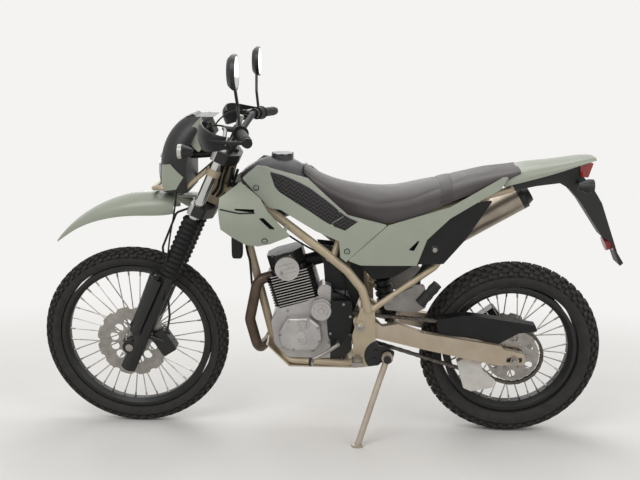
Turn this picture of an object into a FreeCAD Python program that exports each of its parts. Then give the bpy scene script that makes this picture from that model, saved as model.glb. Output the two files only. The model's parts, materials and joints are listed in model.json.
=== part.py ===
import FreeCAD, Part
import math
import os

# A light dual sport motorcycle that leans on its side stand. Lengths are in millimetres.
# Each piece is shaped on the upright machine: front towards -X, left side towards -Y, ground at
# Z zero and X zero midway between the axles. At the end the whole machine is leaned to its left
# about the ground line and moved so that the origin is the middle of its footprint.
# A name that ends in _SHARES holds parts of its form's own length, height or width.

# Overall
WHEELBASE = 1365.0
LEAN_DEG = 10.0
GAP = 0.3
MOVING_GAP = 5.0
OVERRUN = 20.0
PANEL_WALL = 4.0

# Tyres and wheels
FRONT_RADIUS = 340.0
FRONT_TYRE_WIDTH = 76.0
FRONT_BEAD_RADIUS = 268.0
FRONT_RIM_WIDTH = 48.0
FRONT_RIM_DEPTH = 17.0
REAR_RADIUS = 325.0
REAR_TYRE_WIDTH = 106.0
REAR_BEAD_RADIUS = 231.0
REAR_RIM_WIDTH = 62.0
REAR_RIM_DEPTH = 19.0
TYRE_SIDES = 48
KNOB_DEPTH = 8.0
KNOB_TOP_SHARE = 0.8
TREAD_SHARES = [(0.01, 0.22), (0.06, 0.54), (0.20, 0.82)]
FLANK_SHARES = [(0.46, 1.00), (0.80, 0.78)]
RIM_WALL = 4.0
RIM_WELL_SHARE = 0.45
SPOKE_RADIUS = 2.2
SPOKE_SIDES = 6
SPOKE_PAIRS = 9
SPOKE_LEAN_SHARE = 0.75
AXLE_RADIUS = 9.0
FRONT_HUB_HALF = 36.0
FRONT_HUB_FLANGE = 33.0
REAR_HUB_HALF = 44.0
REAR_HUB_FLANGE = 42.0
HUB_CORE = 21.0
FLANGE_THICKNESS = 6.0

# Brakes
FRONT_DISC_RADIUS = 132.0
FRONT_DISC_Y = 58.0
FRONT_DISC_PETALS = 12
REAR_DISC_RADIUS = 110.0
REAR_DISC_Y = 62.0
REAR_DISC_PETALS = 10
DISC_THICKNESS = 4.0
DISC_HUB_SHARE = 0.32
DISC_BITE_SHARE = 0.12
DISC_WINDOW_SHARE = 0.12
CALIPER_LENGTH = 92.0
CALIPER_HEIGHT = 58.0
CALIPER_WALL = 16.0
CALIPER_CORNER = 10.0
CALIPER_STAY_RADIUS = 9.0
FRONT_CALIPER_PLACE = (-568.0, 345.0)
FRONT_CALIPER_TURN_DEG = -58.0
FRONT_CALIPER_STAY_UP = 60.0
REAR_CALIPER_PLACE = (610.0, 415.0)
REAR_CALIPER_TURN_DEG = 38.0
REAR_CALIPER_STAY_DROP = 70.0

# Steering and fork
RAKE_DEG = 24.5
AXLE_LEAD = 53.6
FORK_LEAD = 30.0
FORK_HALF = 95.0
FORK_TUBE_RADIUS = 18.5
SLIDER_RADIUS = 27.0
SLIDER_FOOT = 85.0
AXLE_BOSS_RADIUS = 25.6
AXLE_BOSS_REACH = 21.6
GAITER_RADIUS = 34.0
GAITER_WAIST = 29.0
GAITER_RIBS = 12
GAITER_FOOT = 303.0
GAITER_TOP = 530.0
LOWER_CLAMP_UP = 545.0
UPPER_CLAMP_UP = 750.0
CLAMP_DEPTH = 38.0
CLAMP_BOSS_RADIUS = 27.8
CLAMP_WAIST_SHARE = 0.35
FORK_TOP_UP = 800.0
STEM_RADIUS = 14.0
STEM_NUT_DEPTH = 10.0
HEAD_RADIUS = 27.0
FORK_GUARD_WALL = 3.0
FORK_GUARD_LOW_RADIUS = 36.5
FORK_GUARD_HIGH_RADIUS = 47.0
FORK_GUARD_LOW = 60.0
FORK_GUARD_LENGTH = 225.0
FORK_GUARD_LEAD = 15.0
FORK_GUARD_RIBS = (75.0, 265.0)
FORK_GUARD_BACK = 10.0
FORK_GUARD_RIB_LENGTH = 55.0
FORK_GUARD_RIB_DEPTH = 12.0

RAKE = math.radians(RAKE_DEG)
AXLE_F = (-WHEELBASE / 2, FRONT_RADIUS)
AXLE_R = (WHEELBASE / 2, REAR_RADIUS)


def V(x, y, z):
    """A point or direction of the upright machine."""
    return FreeCAD.Vector(x, y, z)


# Foot of the steering axis: level with the front axle along the fork, AXLE_LEAD behind it.
STEER_X = AXLE_F[0] + AXLE_LEAD * math.cos(RAKE)
STEER_Z = AXLE_F[1] - AXLE_LEAD * math.sin(RAKE)
STEER_AXIS = V(math.sin(RAKE), 0, math.cos(RAKE))
FORWARD = V(-math.cos(RAKE), 0, math.sin(RAKE))
ALONG_Y = V(0, 1, 0)
UPRIGHT = V(0, 0, 1)
SIDES = ((-1, "left"), (1, "right"))


def F(lead, y, up):
    """A point by its distance ahead of the steering axis, its side and its height along it."""
    return V(STEER_X, y, STEER_Z) + FORWARD * lead + STEER_AXIS * up


def rod(start, end, radius):
    """A round bar between two points."""
    along = end - start
    return Part.makeCylinder(radius, along.Length, start, along)


def flat_sided_bar(start, end, radius, sides):
    """A straight bar of few flat sides, for what repeats many times."""
    along = end - start
    side = along.cross(V(0.3, 1, 0.2))
    side.normalize()
    other = along.cross(side)
    other.normalize()
    corners = []
    for i in range(sides):
        turn = 2 * math.pi * i / sides
        corners.append(start + side * (radius * math.cos(turn)) + other * (radius * math.sin(turn)))
    return Part.Face(Part.makePolygon(corners + corners[:1])).extrude(along)


def cross_rod(place, y_start, y_end, radius):
    """A round bar that lies across the machine at a place of (x, z)."""
    x, z = place
    return rod(V(x, y_start, z), V(x, y_end, z), radius)


def box_at(corner, length, width, height, placement=None):
    """A block from its lowest corner, or set down by a placement."""
    block = Part.makeBox(length, width, height, corner)
    if placement is not None:
        block.Placement = placement
    return block


def rounded_wire(points, bend, closed):
    """A wire of straight runs whose corners are arcs of the radius bend, or less where short."""
    count = len(points)
    corners = []
    for i in range(count):
        here = points[i]
        if not closed and i in (0, count - 1):
            corners.append((here, None, here))
            continue
        before = points[i - 1] - here
        after = points[(i + 1) % count] - here
        angle = before.getAngle(after)
        if angle > math.pi * 0.99 or bend <= 0:
            corners.append((here, None, here))
            continue
        reach = min(bend / math.tan(angle / 2), 0.45 * before.Length, 0.45 * after.Length)
        radius = reach * math.tan(angle / 2)
        one = before.normalize() * reach
        two = after.normalize() * reach
        inward = one + two
        inward.normalize()
        middle = here + inward * (radius / math.sin(angle / 2) - radius)
        corners.append((here + one, middle, here + two))
    edges = []
    last = count if closed else count - 1
    for i in range(count):
        start, middle, end = corners[i]
        if middle is not None:
            edges.append(Part.Arc(start, middle, end).toShape())
        if i < last:
            target = corners[(i + 1) % count][0]
            if (target - end).Length > GAP / 100:
                edges.append(Part.makeLine(end, target))
    return Part.Wire(edges)


def elbow(start, centre, along, turn, radius):
    """A round bar's bend: a circle across its start, turned about the bend's centre."""
    ring = Part.Face(Part.Wire([Part.makeCircle(radius, start, along)]))
    axis = (start - centre).cross(along)
    axis.normalize()
    return ring.revolve(centre, axis, math.degrees(turn))


def tube(points, radius, bend):
    """A round bar of straight runs joined by round elbows, or by a ball where a run is short."""
    shapes = []
    here = points[0]
    for before, corner, after in zip(points, points[1:], points[2:]):
        back = before - corner
        ahead = after - corner
        turn = math.pi - back.getAngle(ahead)
        reach = min(bend * math.tan(turn / 2), 0.45 * back.Length, 0.45 * ahead.Length)
        curve = reach / math.tan(turn / 2)
        back.normalize()
        ahead.normalize()
        if curve < 1.2 * radius:
            shapes.append(rod(here, corner, radius))
            shapes.append(Part.makeSphere(radius, corner))
            here = corner
            continue
        start = corner + back * reach
        inward = back + ahead
        inward.normalize()
        centre = corner + inward * (curve / math.cos(turn / 2))
        shapes.append(rod(here, start, radius))
        shapes.append(elbow(start, centre, back * -1, turn, radius))
        here = corner + ahead * reach
    shapes.append(rod(here, points[-1], radius))
    return shapes[0].fuse(shapes[1:]) if len(shapes) > 1 else shapes[0]


def in_box(shares, left, bottom, length, height):
    """The points of an outline given in shares of its length and height."""
    return [(left + u * length, bottom + v * height) for u, v in shares]


def plate(outline, y_start, y_end, corner=0.0):
    """An upright plate of the side outline, from one side plane to another."""
    wire = rounded_wire([V(x, y_start, z) for x, z in outline], corner, True)
    return Part.Face(wire).extrude(V(0, y_end - y_start, 0))


def mirrored(shape):
    """The same piece on the machine's other side."""
    return shape.mirror(V(0, 0, 0), ALONG_Y)


def spline_edge(points):
    """One smooth edge through the points."""
    curve = Part.BSplineCurve()
    curve.interpolate(points)
    return curve.toShape()


def wall_loft(rows):
    """A thin wall through rows of points; a row is its outer points and its inner points."""
    wires = []
    for outer, inner in rows:
        edges = [
            spline_edge(outer),
            Part.makeLine(outer[-1], inner[-1]),
            spline_edge(inner[::-1]),
            Part.makeLine(inner[0], outer[0]),
        ]
        wires.append(Part.Wire(edges))
    return Part.makeLoft(wires, True, False)


ARCH_SHARES = [(0.92, 0.00), (0.55, 0.75)]


def arch(x, half, low, high, crown_share):
    """A closed cross section at x: upright flanks, a crowned top and a flat underside."""
    shoulder = high - crown_share * (high - low)
    right = [V(x, half, low), V(x, half, (low + shoulder) / 2)]
    right += [V(x, out * half, shoulder + up * (high - shoulder)) for out, up in ARCH_SHARES]
    left = [V(p.x, -p.y, p.z) for p in right]
    points = left + [V(x, 0, high)] + right[::-1]
    return Part.Wire([spline_edge(points), Part.makeLine(points[-1], points[0])])


def side_skin(stations, wall):
    """A curved side wall of the left side through stations of (x, list of (y, z))."""
    rows = []
    for x, profile in stations:
        outer = [V(x, y, z) for y, z in profile]
        inner = [V(x, y + wall, z) for y, z in profile]
        rows.append((outer, inner))
    return wall_loft(rows)


def revolve_y(profile, place):
    """A solid turned about a cross axis at (x, z) from a profile of (radius, y)."""
    x, z = place
    points = [V(x, y, z + radius) for radius, y in profile]
    face = Part.Face(Part.makePolygon(points + points[:1]))
    return face.revolve(V(x, 0, z), ALONG_Y, 360)


def turned_along(profile, start, along):
    """A solid turned about a slanting axis from a profile of (radius, height)."""
    points = [V(radius, 0, height) for radius, height in profile]
    face = Part.Face(Part.makePolygon(points + points[:1]))
    body = face.revolve(V(0, 0, 0), UPRIGHT, 360)
    body.Placement = FreeCAD.Placement(start, FreeCAD.Rotation(UPRIGHT, along))
    return body


def fused(shapes):
    """One solid of touching shapes."""
    whole = shapes[0].fuse(shapes[1:])
    return whole.removeSplitter()


def largest(shape):
    """The main solid of a cut piece, without the slivers."""
    return max(shape.Solids, key=lambda solid: solid.Volume)


def round_wheel_point(axle, radius, angle, y):
    """A point at a radius and an angle about an axle."""
    return V(axle[0] + radius * math.sin(angle), y, axle[1] + radius * math.cos(angle))


# Wheels


def facet(corners):
    """A flat face through corner points."""
    return Part.Face(Part.makePolygon(corners + corners[:1]))


def tread_block(corners):
    """The top and walls of a tread block that stands on a flat facet."""
    outward = (corners[3] - corners[0]).cross(corners[1] - corners[0])
    outward.normalize()
    centre = (corners[0] + corners[2]) * 0.5
    top = [centre + (p - centre) * KNOB_TOP_SHARE + outward * KNOB_DEPTH for p in corners]
    walls = []
    for k in range(len(corners)):
        walls.append(facet([corners[k - 1], corners[k], top[k], top[k - 1]]))
    return walls + [facet(top)]


def tyre(axle, radius, width, bead_radius, rim_width):
    """A knobbly tyre built face by face: blocks stand on every second facet of its tread strips."""
    step = 2 * math.pi / TYRE_SIDES
    half = width / 2
    inner_half = rim_width / 2 - RIM_WALL - GAP
    tread = radius - KNOB_DEPTH
    height = tread - bead_radius
    right = [(tread - drop * height, out * half) for drop, out in TREAD_SHARES + FLANK_SHARES]
    # the flats of the inner rings stay outside the round rim
    for inner in (bead_radius + 2 * RIM_WALL + GAP, bead_radius):
        right.append((inner / math.cos(step / 2), inner_half))
    profile = [(r, -y) for r, y in right[::-1]] + right
    middle, reach = len(right), len(TREAD_SHARES)
    faces = []
    for i in range(TYRE_SIDES):
        for j, (r0, y0) in enumerate(profile):
            r1, y1 = profile[(j + 1) % len(profile)]
            corners = [
                round_wheel_point(axle, r0, i * step, y0),
                round_wheel_point(axle, r1, i * step, y1),
                round_wheel_point(axle, r1, (i + 1) * step, y1),
                round_wheel_point(axle, r0, (i + 1) * step, y0),
            ]
            if middle - reach <= j < middle + reach - 1 and (i + j) % 2:
                faces += tread_block(corners)
            else:
                faces.append(facet(corners))
    return Part.Solid(Part.Shell(faces))


def rim(axle, bead_radius, width, depth):
    """A spoked wheel's rim: two upright lips and a deeper well between them."""
    half = width / 2
    outer = bead_radius - GAP
    well = half * RIM_WELL_SHARE
    right = [
        (outer, half - RIM_WALL),
        (outer + 2 * RIM_WALL, half - RIM_WALL),
        (outer + 2 * RIM_WALL, half),
        (outer - RIM_WALL, half),
        (outer - depth, well),
    ]
    left = [(radius, -y) for radius, y in right[::-1]]
    return revolve_y(right + left, axle)


def hub(axle, half, flange):
    """A hub with two spoke flanges and a bore for the axle."""
    bore = AXLE_RADIUS + GAP
    inner = half - FLANGE_THICKNESS
    right = [
        (HUB_CORE, inner - FLANGE_THICKNESS),
        (flange, inner),
        (flange, half),
        (bore, half),
    ]
    left = [(radius, -y) for radius, y in right[::-1]]
    return revolve_y(left + right, axle)


def spokes(axle, half, flange, rim_inner):
    """Crossed spokes from both flanges to the rim."""
    bars = []
    step = 2 * math.pi / SPOKE_PAIRS
    near = flange - 2 * SPOKE_RADIUS
    for side, _ in SIDES:
        y = side * (half - FLANGE_THICKNESS / 2)
        for i in range(SPOKE_PAIRS):
            at_hub = (i + side / 8) * step
            for lean in (-1, 1):
                at_rim = at_hub + lean * step * SPOKE_LEAN_SHARE
                start = round_wheel_point(axle, near, at_hub, y)
                end = round_wheel_point(axle, rim_inner, at_rim, 0)
                bars.append(flat_sided_bar(start, end, SPOKE_RADIUS, SPOKE_SIDES))
    return bars


def wheel(axle, bead_radius, width, depth, half, flange):
    """Rim, spokes and hub as one built wheel."""
    rim_inner = bead_radius - GAP - depth + RIM_WALL / 2
    parts = [rim(axle, bead_radius, width, depth), hub(axle, half, flange)]
    return fused(parts + spokes(axle, half, flange, rim_inner))


def ring(axle, inner, outer, y, thickness):
    """A flat ring across an axle, centred on a side plane."""
    half = thickness / 2
    return revolve_y([(inner, y - half), (outer, y - half), (outer, y + half), (inner, y + half)], axle)


def disc(axle, y, radius, hub_half, petals):
    """A petal brake disc with windows, on the carrier ring that bolts it to the hub."""
    inner = radius * DISC_HUB_SHARE
    body = ring(axle, inner, radius, y, DISC_THICKNESS)
    bite = radius * DISC_BITE_SHARE
    window = radius * DISC_WINDOW_SHARE
    middle = (inner + radius * (1 - 2 * DISC_WINDOW_SHARE)) / 2
    cuts = []
    for i in range(petals):
        notch = round_wheel_point(axle, radius + bite / 2, 2 * math.pi * i / petals, 0)
        cuts.append(cross_rod((notch.x, notch.z), y - OVERRUN, y + OVERRUN, bite))
        hole = round_wheel_point(axle, middle, 2 * math.pi * (i + 0.5) / petals, 0)
        cuts.append(cross_rod((hole.x, hole.z), y - OVERRUN, y + OVERRUN, window))
    side = -1 if y < 0 else 1
    near = side * hub_half
    far = y + side * DISC_THICKNESS / 2
    depth = abs(far - near)
    carrier = ring(axle, inner - FLANGE_THICKNESS, inner + FLANGE_THICKNESS, (near + far) / 2, depth)
    return fused([body.cut(cuts), carrier])


# Chain drive

CHAIN_Y = 80.0
CHAIN_PLATE = 2.4
CHAIN_INNER = 8.0
CHAIN_HEIGHT = 13.0
CHAIN_PITCH = 15.875
ROLLER_RADIUS = 4.5
ROLLER_SIDES = 4
ROLLER_EVERY = 2
WRAP_FLATS = 9
OFFSET_SHARP = 2
CHAIN_HALF = CHAIN_INNER / 2 + CHAIN_PLATE
FRONT_SPROCKET = (85.0, 440.0)
FRONT_SPROCKET_RADIUS = 38.0
REAR_SPROCKET_RADIUS = 104.0
SPROCKET_THICKNESS = 5.5
SPROCKET_BORE = 42.0
SPROCKET_HOLES = 6
SPROCKET_HOLE_SHARE = 0.28


def chain_line():
    """The chain's centre line: two tangent runs and wraps of short flats about both sprockets."""
    ax, az = FRONT_SPROCKET
    bx, bz = AXLE_R
    slope = math.atan2(bz - az, bx - ax)
    splay = math.acos((FRONT_SPROCKET_RADIUS - REAR_SPROCKET_RADIUS) / math.hypot(bx - ax, bz - az))
    top, low = slope + splay, slope - splay

    points = []
    wraps = [
        (AXLE_R, REAR_SPROCKET_RADIUS, top, low),
        (FRONT_SPROCKET, FRONT_SPROCKET_RADIUS, low, top - 2 * math.pi),
    ]
    for (x, z), radius, start, end in wraps:
        for i in range(WRAP_FLATS + 1):
            angle = start + (end - start) * i / WRAP_FLATS
            points.append(V(x + radius * math.cos(angle), -CHAIN_Y, z + radius * math.sin(angle)))
    return Part.makePolygon(points + points[:1])


def chain_band(line, reach):
    """The flat loop within a reach of the chain's line."""
    outer = Part.Face(line.makeOffset2D(reach, OFFSET_SHARP))
    return outer.cut(Part.Face(line.makeOffset2D(-reach, OFFSET_SHARP)))


def chain_path(reach, half):
    """The space swept round the chain's line, to a reach above and below and a half width."""
    line = chain_line()
    band = chain_band(line, reach)
    band.translate(V(0, -half, 0))
    return band.extrude(V(0, 2 * half, 0))


def chain():
    """A roller chain: two loops of side plates, joined at every second roller."""
    line = chain_line()
    band = chain_band(line, CHAIN_HEIGHT / 2)
    parts = []
    for start in (-CHAIN_HALF, CHAIN_INNER / 2):
        side = band.copy()
        side.translate(V(0, start, 0))
        parts.append(side.extrude(V(0, CHAIN_PLATE, 0)))
    links = int(line.Length / (ROLLER_EVERY * CHAIN_PITCH))
    half = CHAIN_HALF - CHAIN_PLATE / 2
    for point in line.discretize(Number=links + 1)[:-1]:
        pin = V(point.x, -CHAIN_Y - half, point.z)
        parts.append(flat_sided_bar(pin, pin + V(0, 2 * half, 0), ROLLER_RADIUS, ROLLER_SIDES))
    return fused(parts)


def rear_sprocket():
    """The driven sprocket with round cut-outs, its tips just under the rollers."""
    tip = REAR_SPROCKET_RADIUS * math.cos(math.pi / WRAP_FLATS) - ROLLER_RADIUS
    body = ring(AXLE_R, SPROCKET_BORE, tip, -CHAIN_Y, SPROCKET_THICKNESS)
    cuts = []
    for i in range(SPROCKET_HOLES):
        hole = round_wheel_point(AXLE_R, (SPROCKET_BORE + tip) / 2, 2 * math.pi * i / SPROCKET_HOLES, 0)
        radius = (tip - SPROCKET_BORE) * SPROCKET_HOLE_SHARE
        cuts.append(cross_rod((hole.x, hole.z), -CHAIN_Y - OVERRUN, -CHAIN_Y + OVERRUN, radius))
    outer = -CHAIN_Y - SPROCKET_THICKNESS / 2
    depth = -REAR_HUB_HALF - outer
    inner, far = SPROCKET_BORE - FLANGE_THICKNESS, SPROCKET_BORE + FLANGE_THICKNESS
    return fused([body.cut(cuts), ring(AXLE_R, inner, far, outer + depth / 2, depth)])


GUARD_PLACE = (407.0, 371.0, 351.0, 110.0)
GUARD_WALL = 3.0
GUARD_REACH = 20.0
ROOF_SHARES = [(0.02, 0.83), (0.20, 0.96), (0.31, 1.00), (0.60, 0.89), (0.98, 0.71), (1.00, 0.55)]
GUARD_SHARES = [
    (0.00, 0.64), (0.02, 0.83), (0.20, 0.96), (0.31, 1.00), (0.60, 0.89), (0.98, 0.71), (1.00, 0.51),
    (0.82, 0.43), (0.60, 0.00), (0.55, 0.05), (0.43, 0.20), (0.15, 0.30), (0.03, 0.34),
]


def chain_guard(arm):
    """A moulded guard outside and over the chain's top run, standing on the swingarm."""
    near = -CHAIN_Y - GUARD_REACH
    side = plate(in_box(GUARD_SHARES, *GUARD_PLACE), near, near + GUARD_WALL, GUARD_WALL)
    top = in_box(ROOF_SHARES, *GUARD_PLACE)
    roof = plate(top + [(x, z - GUARD_WALL) for x, z in top[::-1]], near, near + 2 * GUARD_REACH)
    return fused([side, roof]).cut(arm)


GUIDE_PLACE = (486.0, 191.0, 138.0, 136.0)
GUIDE_WALL = 5.0
GUIDE_SHARES = [
    (0.00, 0.81), (0.18, 0.94), (0.28, 1.00), (0.58, 0.93), (0.67, 0.61), (1.00, 0.34),
    (0.96, 0.12), (0.41, 0.00), (0.20, 0.09),
]


def chain_guide(arm):
    """A block under the swingarm with a tunnel for the chain's lower run."""
    half = CHAIN_HALF + MOVING_GAP
    outer = half + GUIDE_WALL
    block = plate(in_box(GUIDE_SHARES, *GUIDE_PLACE), -CHAIN_Y - outer, -CHAIN_Y + outer, GUIDE_WALL)
    return block.cut([chain_path(CHAIN_HEIGHT, half), arm])


# Frame and swingarm

SPAR_RADIUS = 15.0
CRADLE_RADIUS = 12.0
RAIL_RADIUS = 11.0
TUBE_BEND_SHARE = 4.0
PIVOT = (141.0, 455.0)
PIVOT_PLATE_Y = 122.0
PIVOT_PLATE = 9.0
PIVOT_RADIUS = 10.0
PIVOT_HEAD = 9.0
SPAR_HEAD_UP = 655.0
HEAD_JOIN_SHARES = (0.5, 0.6)
SPAR_POINTS = [
    (-176.0, 118.0, 853.0), (16.0, 128.0, 708.0), (92.0, 128.0, 645.0), (143.0, 127.0, 580.0),
    (166.0, 127.0, 500.0),
]
DOWNTUBE_POINTS = [(-262.0, 0.0, 700.0), (-176.0, 0.0, 340.0)]
CRADLE_POINTS = [(-176.0, 0.0, 345.0), (-120.0, 66.0, 283.0), (90.0, 80.0, 283.0), (150.0, 124.0, 318.0)]
RAIL_POINTS = [(40.0, 122.0, 690.0), (70.0, 92.0, 775.0), (330.0, 88.0, 838.0), (640.0, 62.0, 925.0)]
STRUT_POINTS = [(178.0, 124.0, 505.0), (392.0, 96.0, 656.0), (560.0, 74.0, 900.0)]
PLATE_PLACE = (112.0, 290.0, 126.0, 240.0)
PLATE_SHARES = [
    (0.06, 0.10), (0.28, 0.00), (0.75, 0.04), (1.00, 0.20), (0.66, 0.40), (0.64, 0.55),
    (0.60, 0.96), (0.42, 1.00), (0.22, 0.93), (0.10, 0.70), (0.00, 0.50),
]


def spar(side, radius):
    """One main spar from the head tube to the swingarm pivot."""
    back, out = HEAD_JOIN_SHARES
    start = F(-HEAD_RADIUS * back, side * HEAD_RADIUS * out, SPAR_HEAD_UP)
    points = [start] + [V(x, side * y, z) for x, y, z in SPAR_POINTS]
    return tube(points, radius, TUBE_BEND_SHARE * SPAR_RADIUS)


def frame():
    """Head tube, twin spars, downtube, cradle, pivot plates and seat rails, welded as one."""
    head_low = LOWER_CLAMP_UP + CLAMP_DEPTH + MOVING_GAP
    head_high = UPPER_CLAMP_UP - MOVING_GAP
    parts = [rod(F(0, 0, head_low), F(0, 0, head_high), HEAD_RADIUS)]
    down = [F(-HEAD_RADIUS * HEAD_JOIN_SHARES[0], 0, head_low + 2 * HEAD_RADIUS)]
    down += [V(*p) for p in DOWNTUBE_POINTS]
    parts.append(tube(down, SPAR_RADIUS, TUBE_BEND_SHARE * SPAR_RADIUS))
    outline = in_box(PLATE_SHARES, *PLATE_PLACE)
    routes = ((CRADLE_POINTS, CRADLE_RADIUS), (RAIL_POINTS, RAIL_RADIUS), (STRUT_POINTS, RAIL_RADIUS))
    for side, _ in SIDES:
        parts.append(spar(side, SPAR_RADIUS))
        for route, radius in routes:
            parts.append(tube([V(x, side * y, z) for x, y, z in route], radius, TUBE_BEND_SHARE * radius))
        parts.append(plate(outline, side * PIVOT_PLATE_Y, side * (PIVOT_PLATE_Y + PIVOT_PLATE), PIVOT_RADIUS))
    for x, y, z in (RAIL_POINTS[2], RAIL_POINTS[3], SPAR_POINTS[2], CRADLE_POINTS[2]):
        parts.append(cross_rod((x, z), -y, y, RAIL_RADIUS))
    reach = PIVOT_PLATE_Y + PIVOT_PLATE + PIVOT_HEAD
    parts.append(cross_rod(PIVOT, -reach, reach, PIVOT_RADIUS))
    bore = rod(F(0, 0, head_low - OVERRUN), F(0, 0, head_high + OVERRUN), STEM_RADIUS + GAP)
    return fused(parts).cut(bore)


ARM_Y = 105.0
ARM_HALF = 13.0
ARM_PLACE = (112.0, 303.0, 612.0, 176.0)
ARM_SHARES = [
    (0.00, 0.95), (0.08, 1.00), (0.17, 0.78), (0.26, 0.84), (0.41, 0.65), (0.85, 0.42), (0.87, 0.34),
    (0.99, 0.25), (1.00, 0.02), (0.84, 0.00), (0.74, 0.07), (0.41, 0.31), (0.16, 0.51), (0.02, 0.62),
]
ARM_EYE_RADIUS = 20.0
BRACE_PLACE = (262.0, 411.0)
BRACE_RADIUS = 24.0
SLOT_HALF = 27.0


def swingarm():
    """Two tapered arms joined by a pivot tube and a brace ahead of the rear wheel."""
    outline = in_box(ARM_SHARES, *ARM_PLACE)
    arms = []
    for side, _ in SIDES:
        arms.append(plate(outline, side * (ARM_Y - ARM_HALF), side * (ARM_Y + ARM_HALF), ARM_HALF))
    arms.append(cross_rod(PIVOT, -ARM_Y, ARM_Y, ARM_EYE_RADIUS))
    arms.append(cross_rod(BRACE_PLACE, -ARM_Y, ARM_Y, BRACE_RADIUS))
    whole = fused(arms).cut(chain_path(CHAIN_HEIGHT / 2 + 2 * GAP, CHAIN_HALF + 2 * GAP))
    reach = ARM_Y + OVERRUN
    whole = whole.cut(cross_rod(PIVOT, -reach, reach, PIVOT_RADIUS))
    corner = V(AXLE_R[0] - SLOT_HALF, -reach, AXLE_R[1] - AXLE_RADIUS)
    return whole.cut(box_at(corner, 2 * SLOT_HALF, 2 * reach, 2 * AXLE_RADIUS))


AXLE_NUT_RADIUS = 15.3
AXLE_NUT_DEPTH = 9.0
AXLE_SPACER_RADIUS = 14.4
AXLE_STUB = 12.0


def rear_axle():
    """The rear axle with a nut and a threaded end on each side, and its spacers."""
    outer = ARM_Y + ARM_HALF
    far = outer + AXLE_NUT_DEPTH
    end = far + AXLE_STUB
    parts = [cross_rod(AXLE_R, -end, end, AXLE_RADIUS)]
    for side, _ in SIDES:
        parts.append(cross_rod(AXLE_R, side * outer, side * far, AXLE_NUT_RADIUS))
        inner = REAR_HUB_HALF + MOVING_GAP
        parts.append(cross_rod(AXLE_R, side * inner, side * (ARM_Y - ARM_HALF), AXLE_SPACER_RADIUS))
    return fused(parts)


# Engine

FIN_PITCH = 10.0
FIN_THICKNESS = 3.0
FIN_CORNER = 20.0
CASE_CORNER = 20.0
CASE_HALF = 72.0
CASE_PLACE = (-178.0, 297.0, 300.0, 250.0)
CASE_SHARES = [
    (0.00, 0.55), (0.04, 0.20), (0.20, 0.00), (0.84, 0.00), (0.97, 0.13), (0.94, 0.52),
    (0.96, 0.70), (0.93, 0.90), (0.75, 1.00), (0.50, 0.92), (0.42, 0.86), (0.09, 0.74),
]
COVER_DEPTH = 36.0
CLUTCH_COVER_PLACE = (8.0, 402.0)
CLUTCH_COVER_RADIUS = 85.0
CLUTCH_NOSE_PLACE = (-85.0, 385.0)
CLUTCH_NOSE_RADIUS = 51.0
CLUTCH_NOSE_DEPTH = 29.0
GENERATOR_PLACE = (-152.0, 334.0, 158.0, 128.0)
GENERATOR_SHARES = [
    (0.00, 0.49), (0.08, 0.09), (0.33, 0.00), (0.84, 0.00),
    (1.00, 0.30), (0.96, 0.75), (0.71, 1.00), (0.20, 0.97),
]
GENERATOR_EDGE = 10.0
PLUGS = [((-70.0, 398.0), 16.0), ((-72.0, 437.0), 11.0)]
STARTER_PLACE = (2.0, 491.0)
STARTER_RADIUS = 38.0
STARTER_REACH = 94.0
STARTER_TOP_PLACE = (14.0, 548.0)
STARTER_TOP_RADIUS = 27.0
STARTER_TOP_REACH = 70.0
SPROCKET_COVER_PLACE = (22.0, 347.0, 92.0, 179.0)
SPROCKET_COVER_Y = 98.0
SPROCKET_COVER_CORNER = 10.0
SPROCKET_COVER_SHARES = [
    (0.18, 0.99), (0.89, 1.00), (1.00, 0.69), (0.92, 0.37),
    (0.51, 0.03), (0.24, 0.00), (0.04, 0.27), (0.00, 0.53),
]
CYLINDER_LEAN_DEG = 16.0
CYLINDER_BASE = (-84.0, 508.0)
CYLINDER_FOOT = 90.0
BARREL_RADIUS = 50.0
BARREL_FOOT_RADIUS = 57.5
FIN_LENGTH = 172.0
FIN_WIDTH = 150.0
BARREL_FINS = 8
HEAD_FINS = 4
HEAD_LENGTH = 128.0
HEAD_WIDTH = 120.0
HEAD_COVER_HEIGHT = 62.0
HEAD_COVER_CORNER = 30.0
CAM_COVER_RADIUS = 43.0
CAM_COVER_DEPTH = 22.0
CAM_COVER_UP = 10.0
CAM_RIBS = (-16.0, 0.0, 16.0)
CAM_RIB = (2.0, 56.0, 2.5)


def along_cylinder(forward, y, up):
    """A point by its place along the leaning cylinder's own axes."""
    lean = math.radians(CYLINDER_LEAN_DEG)
    base_x, base_z = CYLINDER_BASE
    return V(
        base_x - up * math.sin(lean) - forward * math.cos(lean),
        y,
        base_z + up * math.cos(lean) - forward * math.sin(lean),
    )


def cylinder_block(length, width, low, high, corner):
    """A block square to the leaning cylinder with cut corners."""
    ahead, out = length / 2, width / 2
    front = [(ahead - corner, -out), (ahead, corner - out), (ahead, out - corner), (ahead - corner, out)]
    corners = front + [(-a, -b) for a, b in front]
    points = [along_cylinder(a, b, low) for a, b in corners]
    rise = along_cylinder(0, 0, high) - along_cylinder(0, 0, low)
    return Part.Face(Part.makePolygon(points + points[:1])).extrude(rise)


def fins(first, count):
    """Evenly spaced cooling fins from a height up the cylinder."""
    low = [first + i * FIN_PITCH for i in range(count)]
    return [cylinder_block(FIN_LENGTH, FIN_WIDTH, up, up + FIN_THICKNESS, FIN_CORNER) for up in low]


def cylinder():
    """The finned barrel."""
    top = BARREL_FINS * FIN_PITCH
    barrel = rod(along_cylinder(0, 0, -FIN_PITCH), along_cylinder(0, 0, top), BARREL_RADIUS)
    return fused([barrel] + fins(0, BARREL_FINS))


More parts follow.
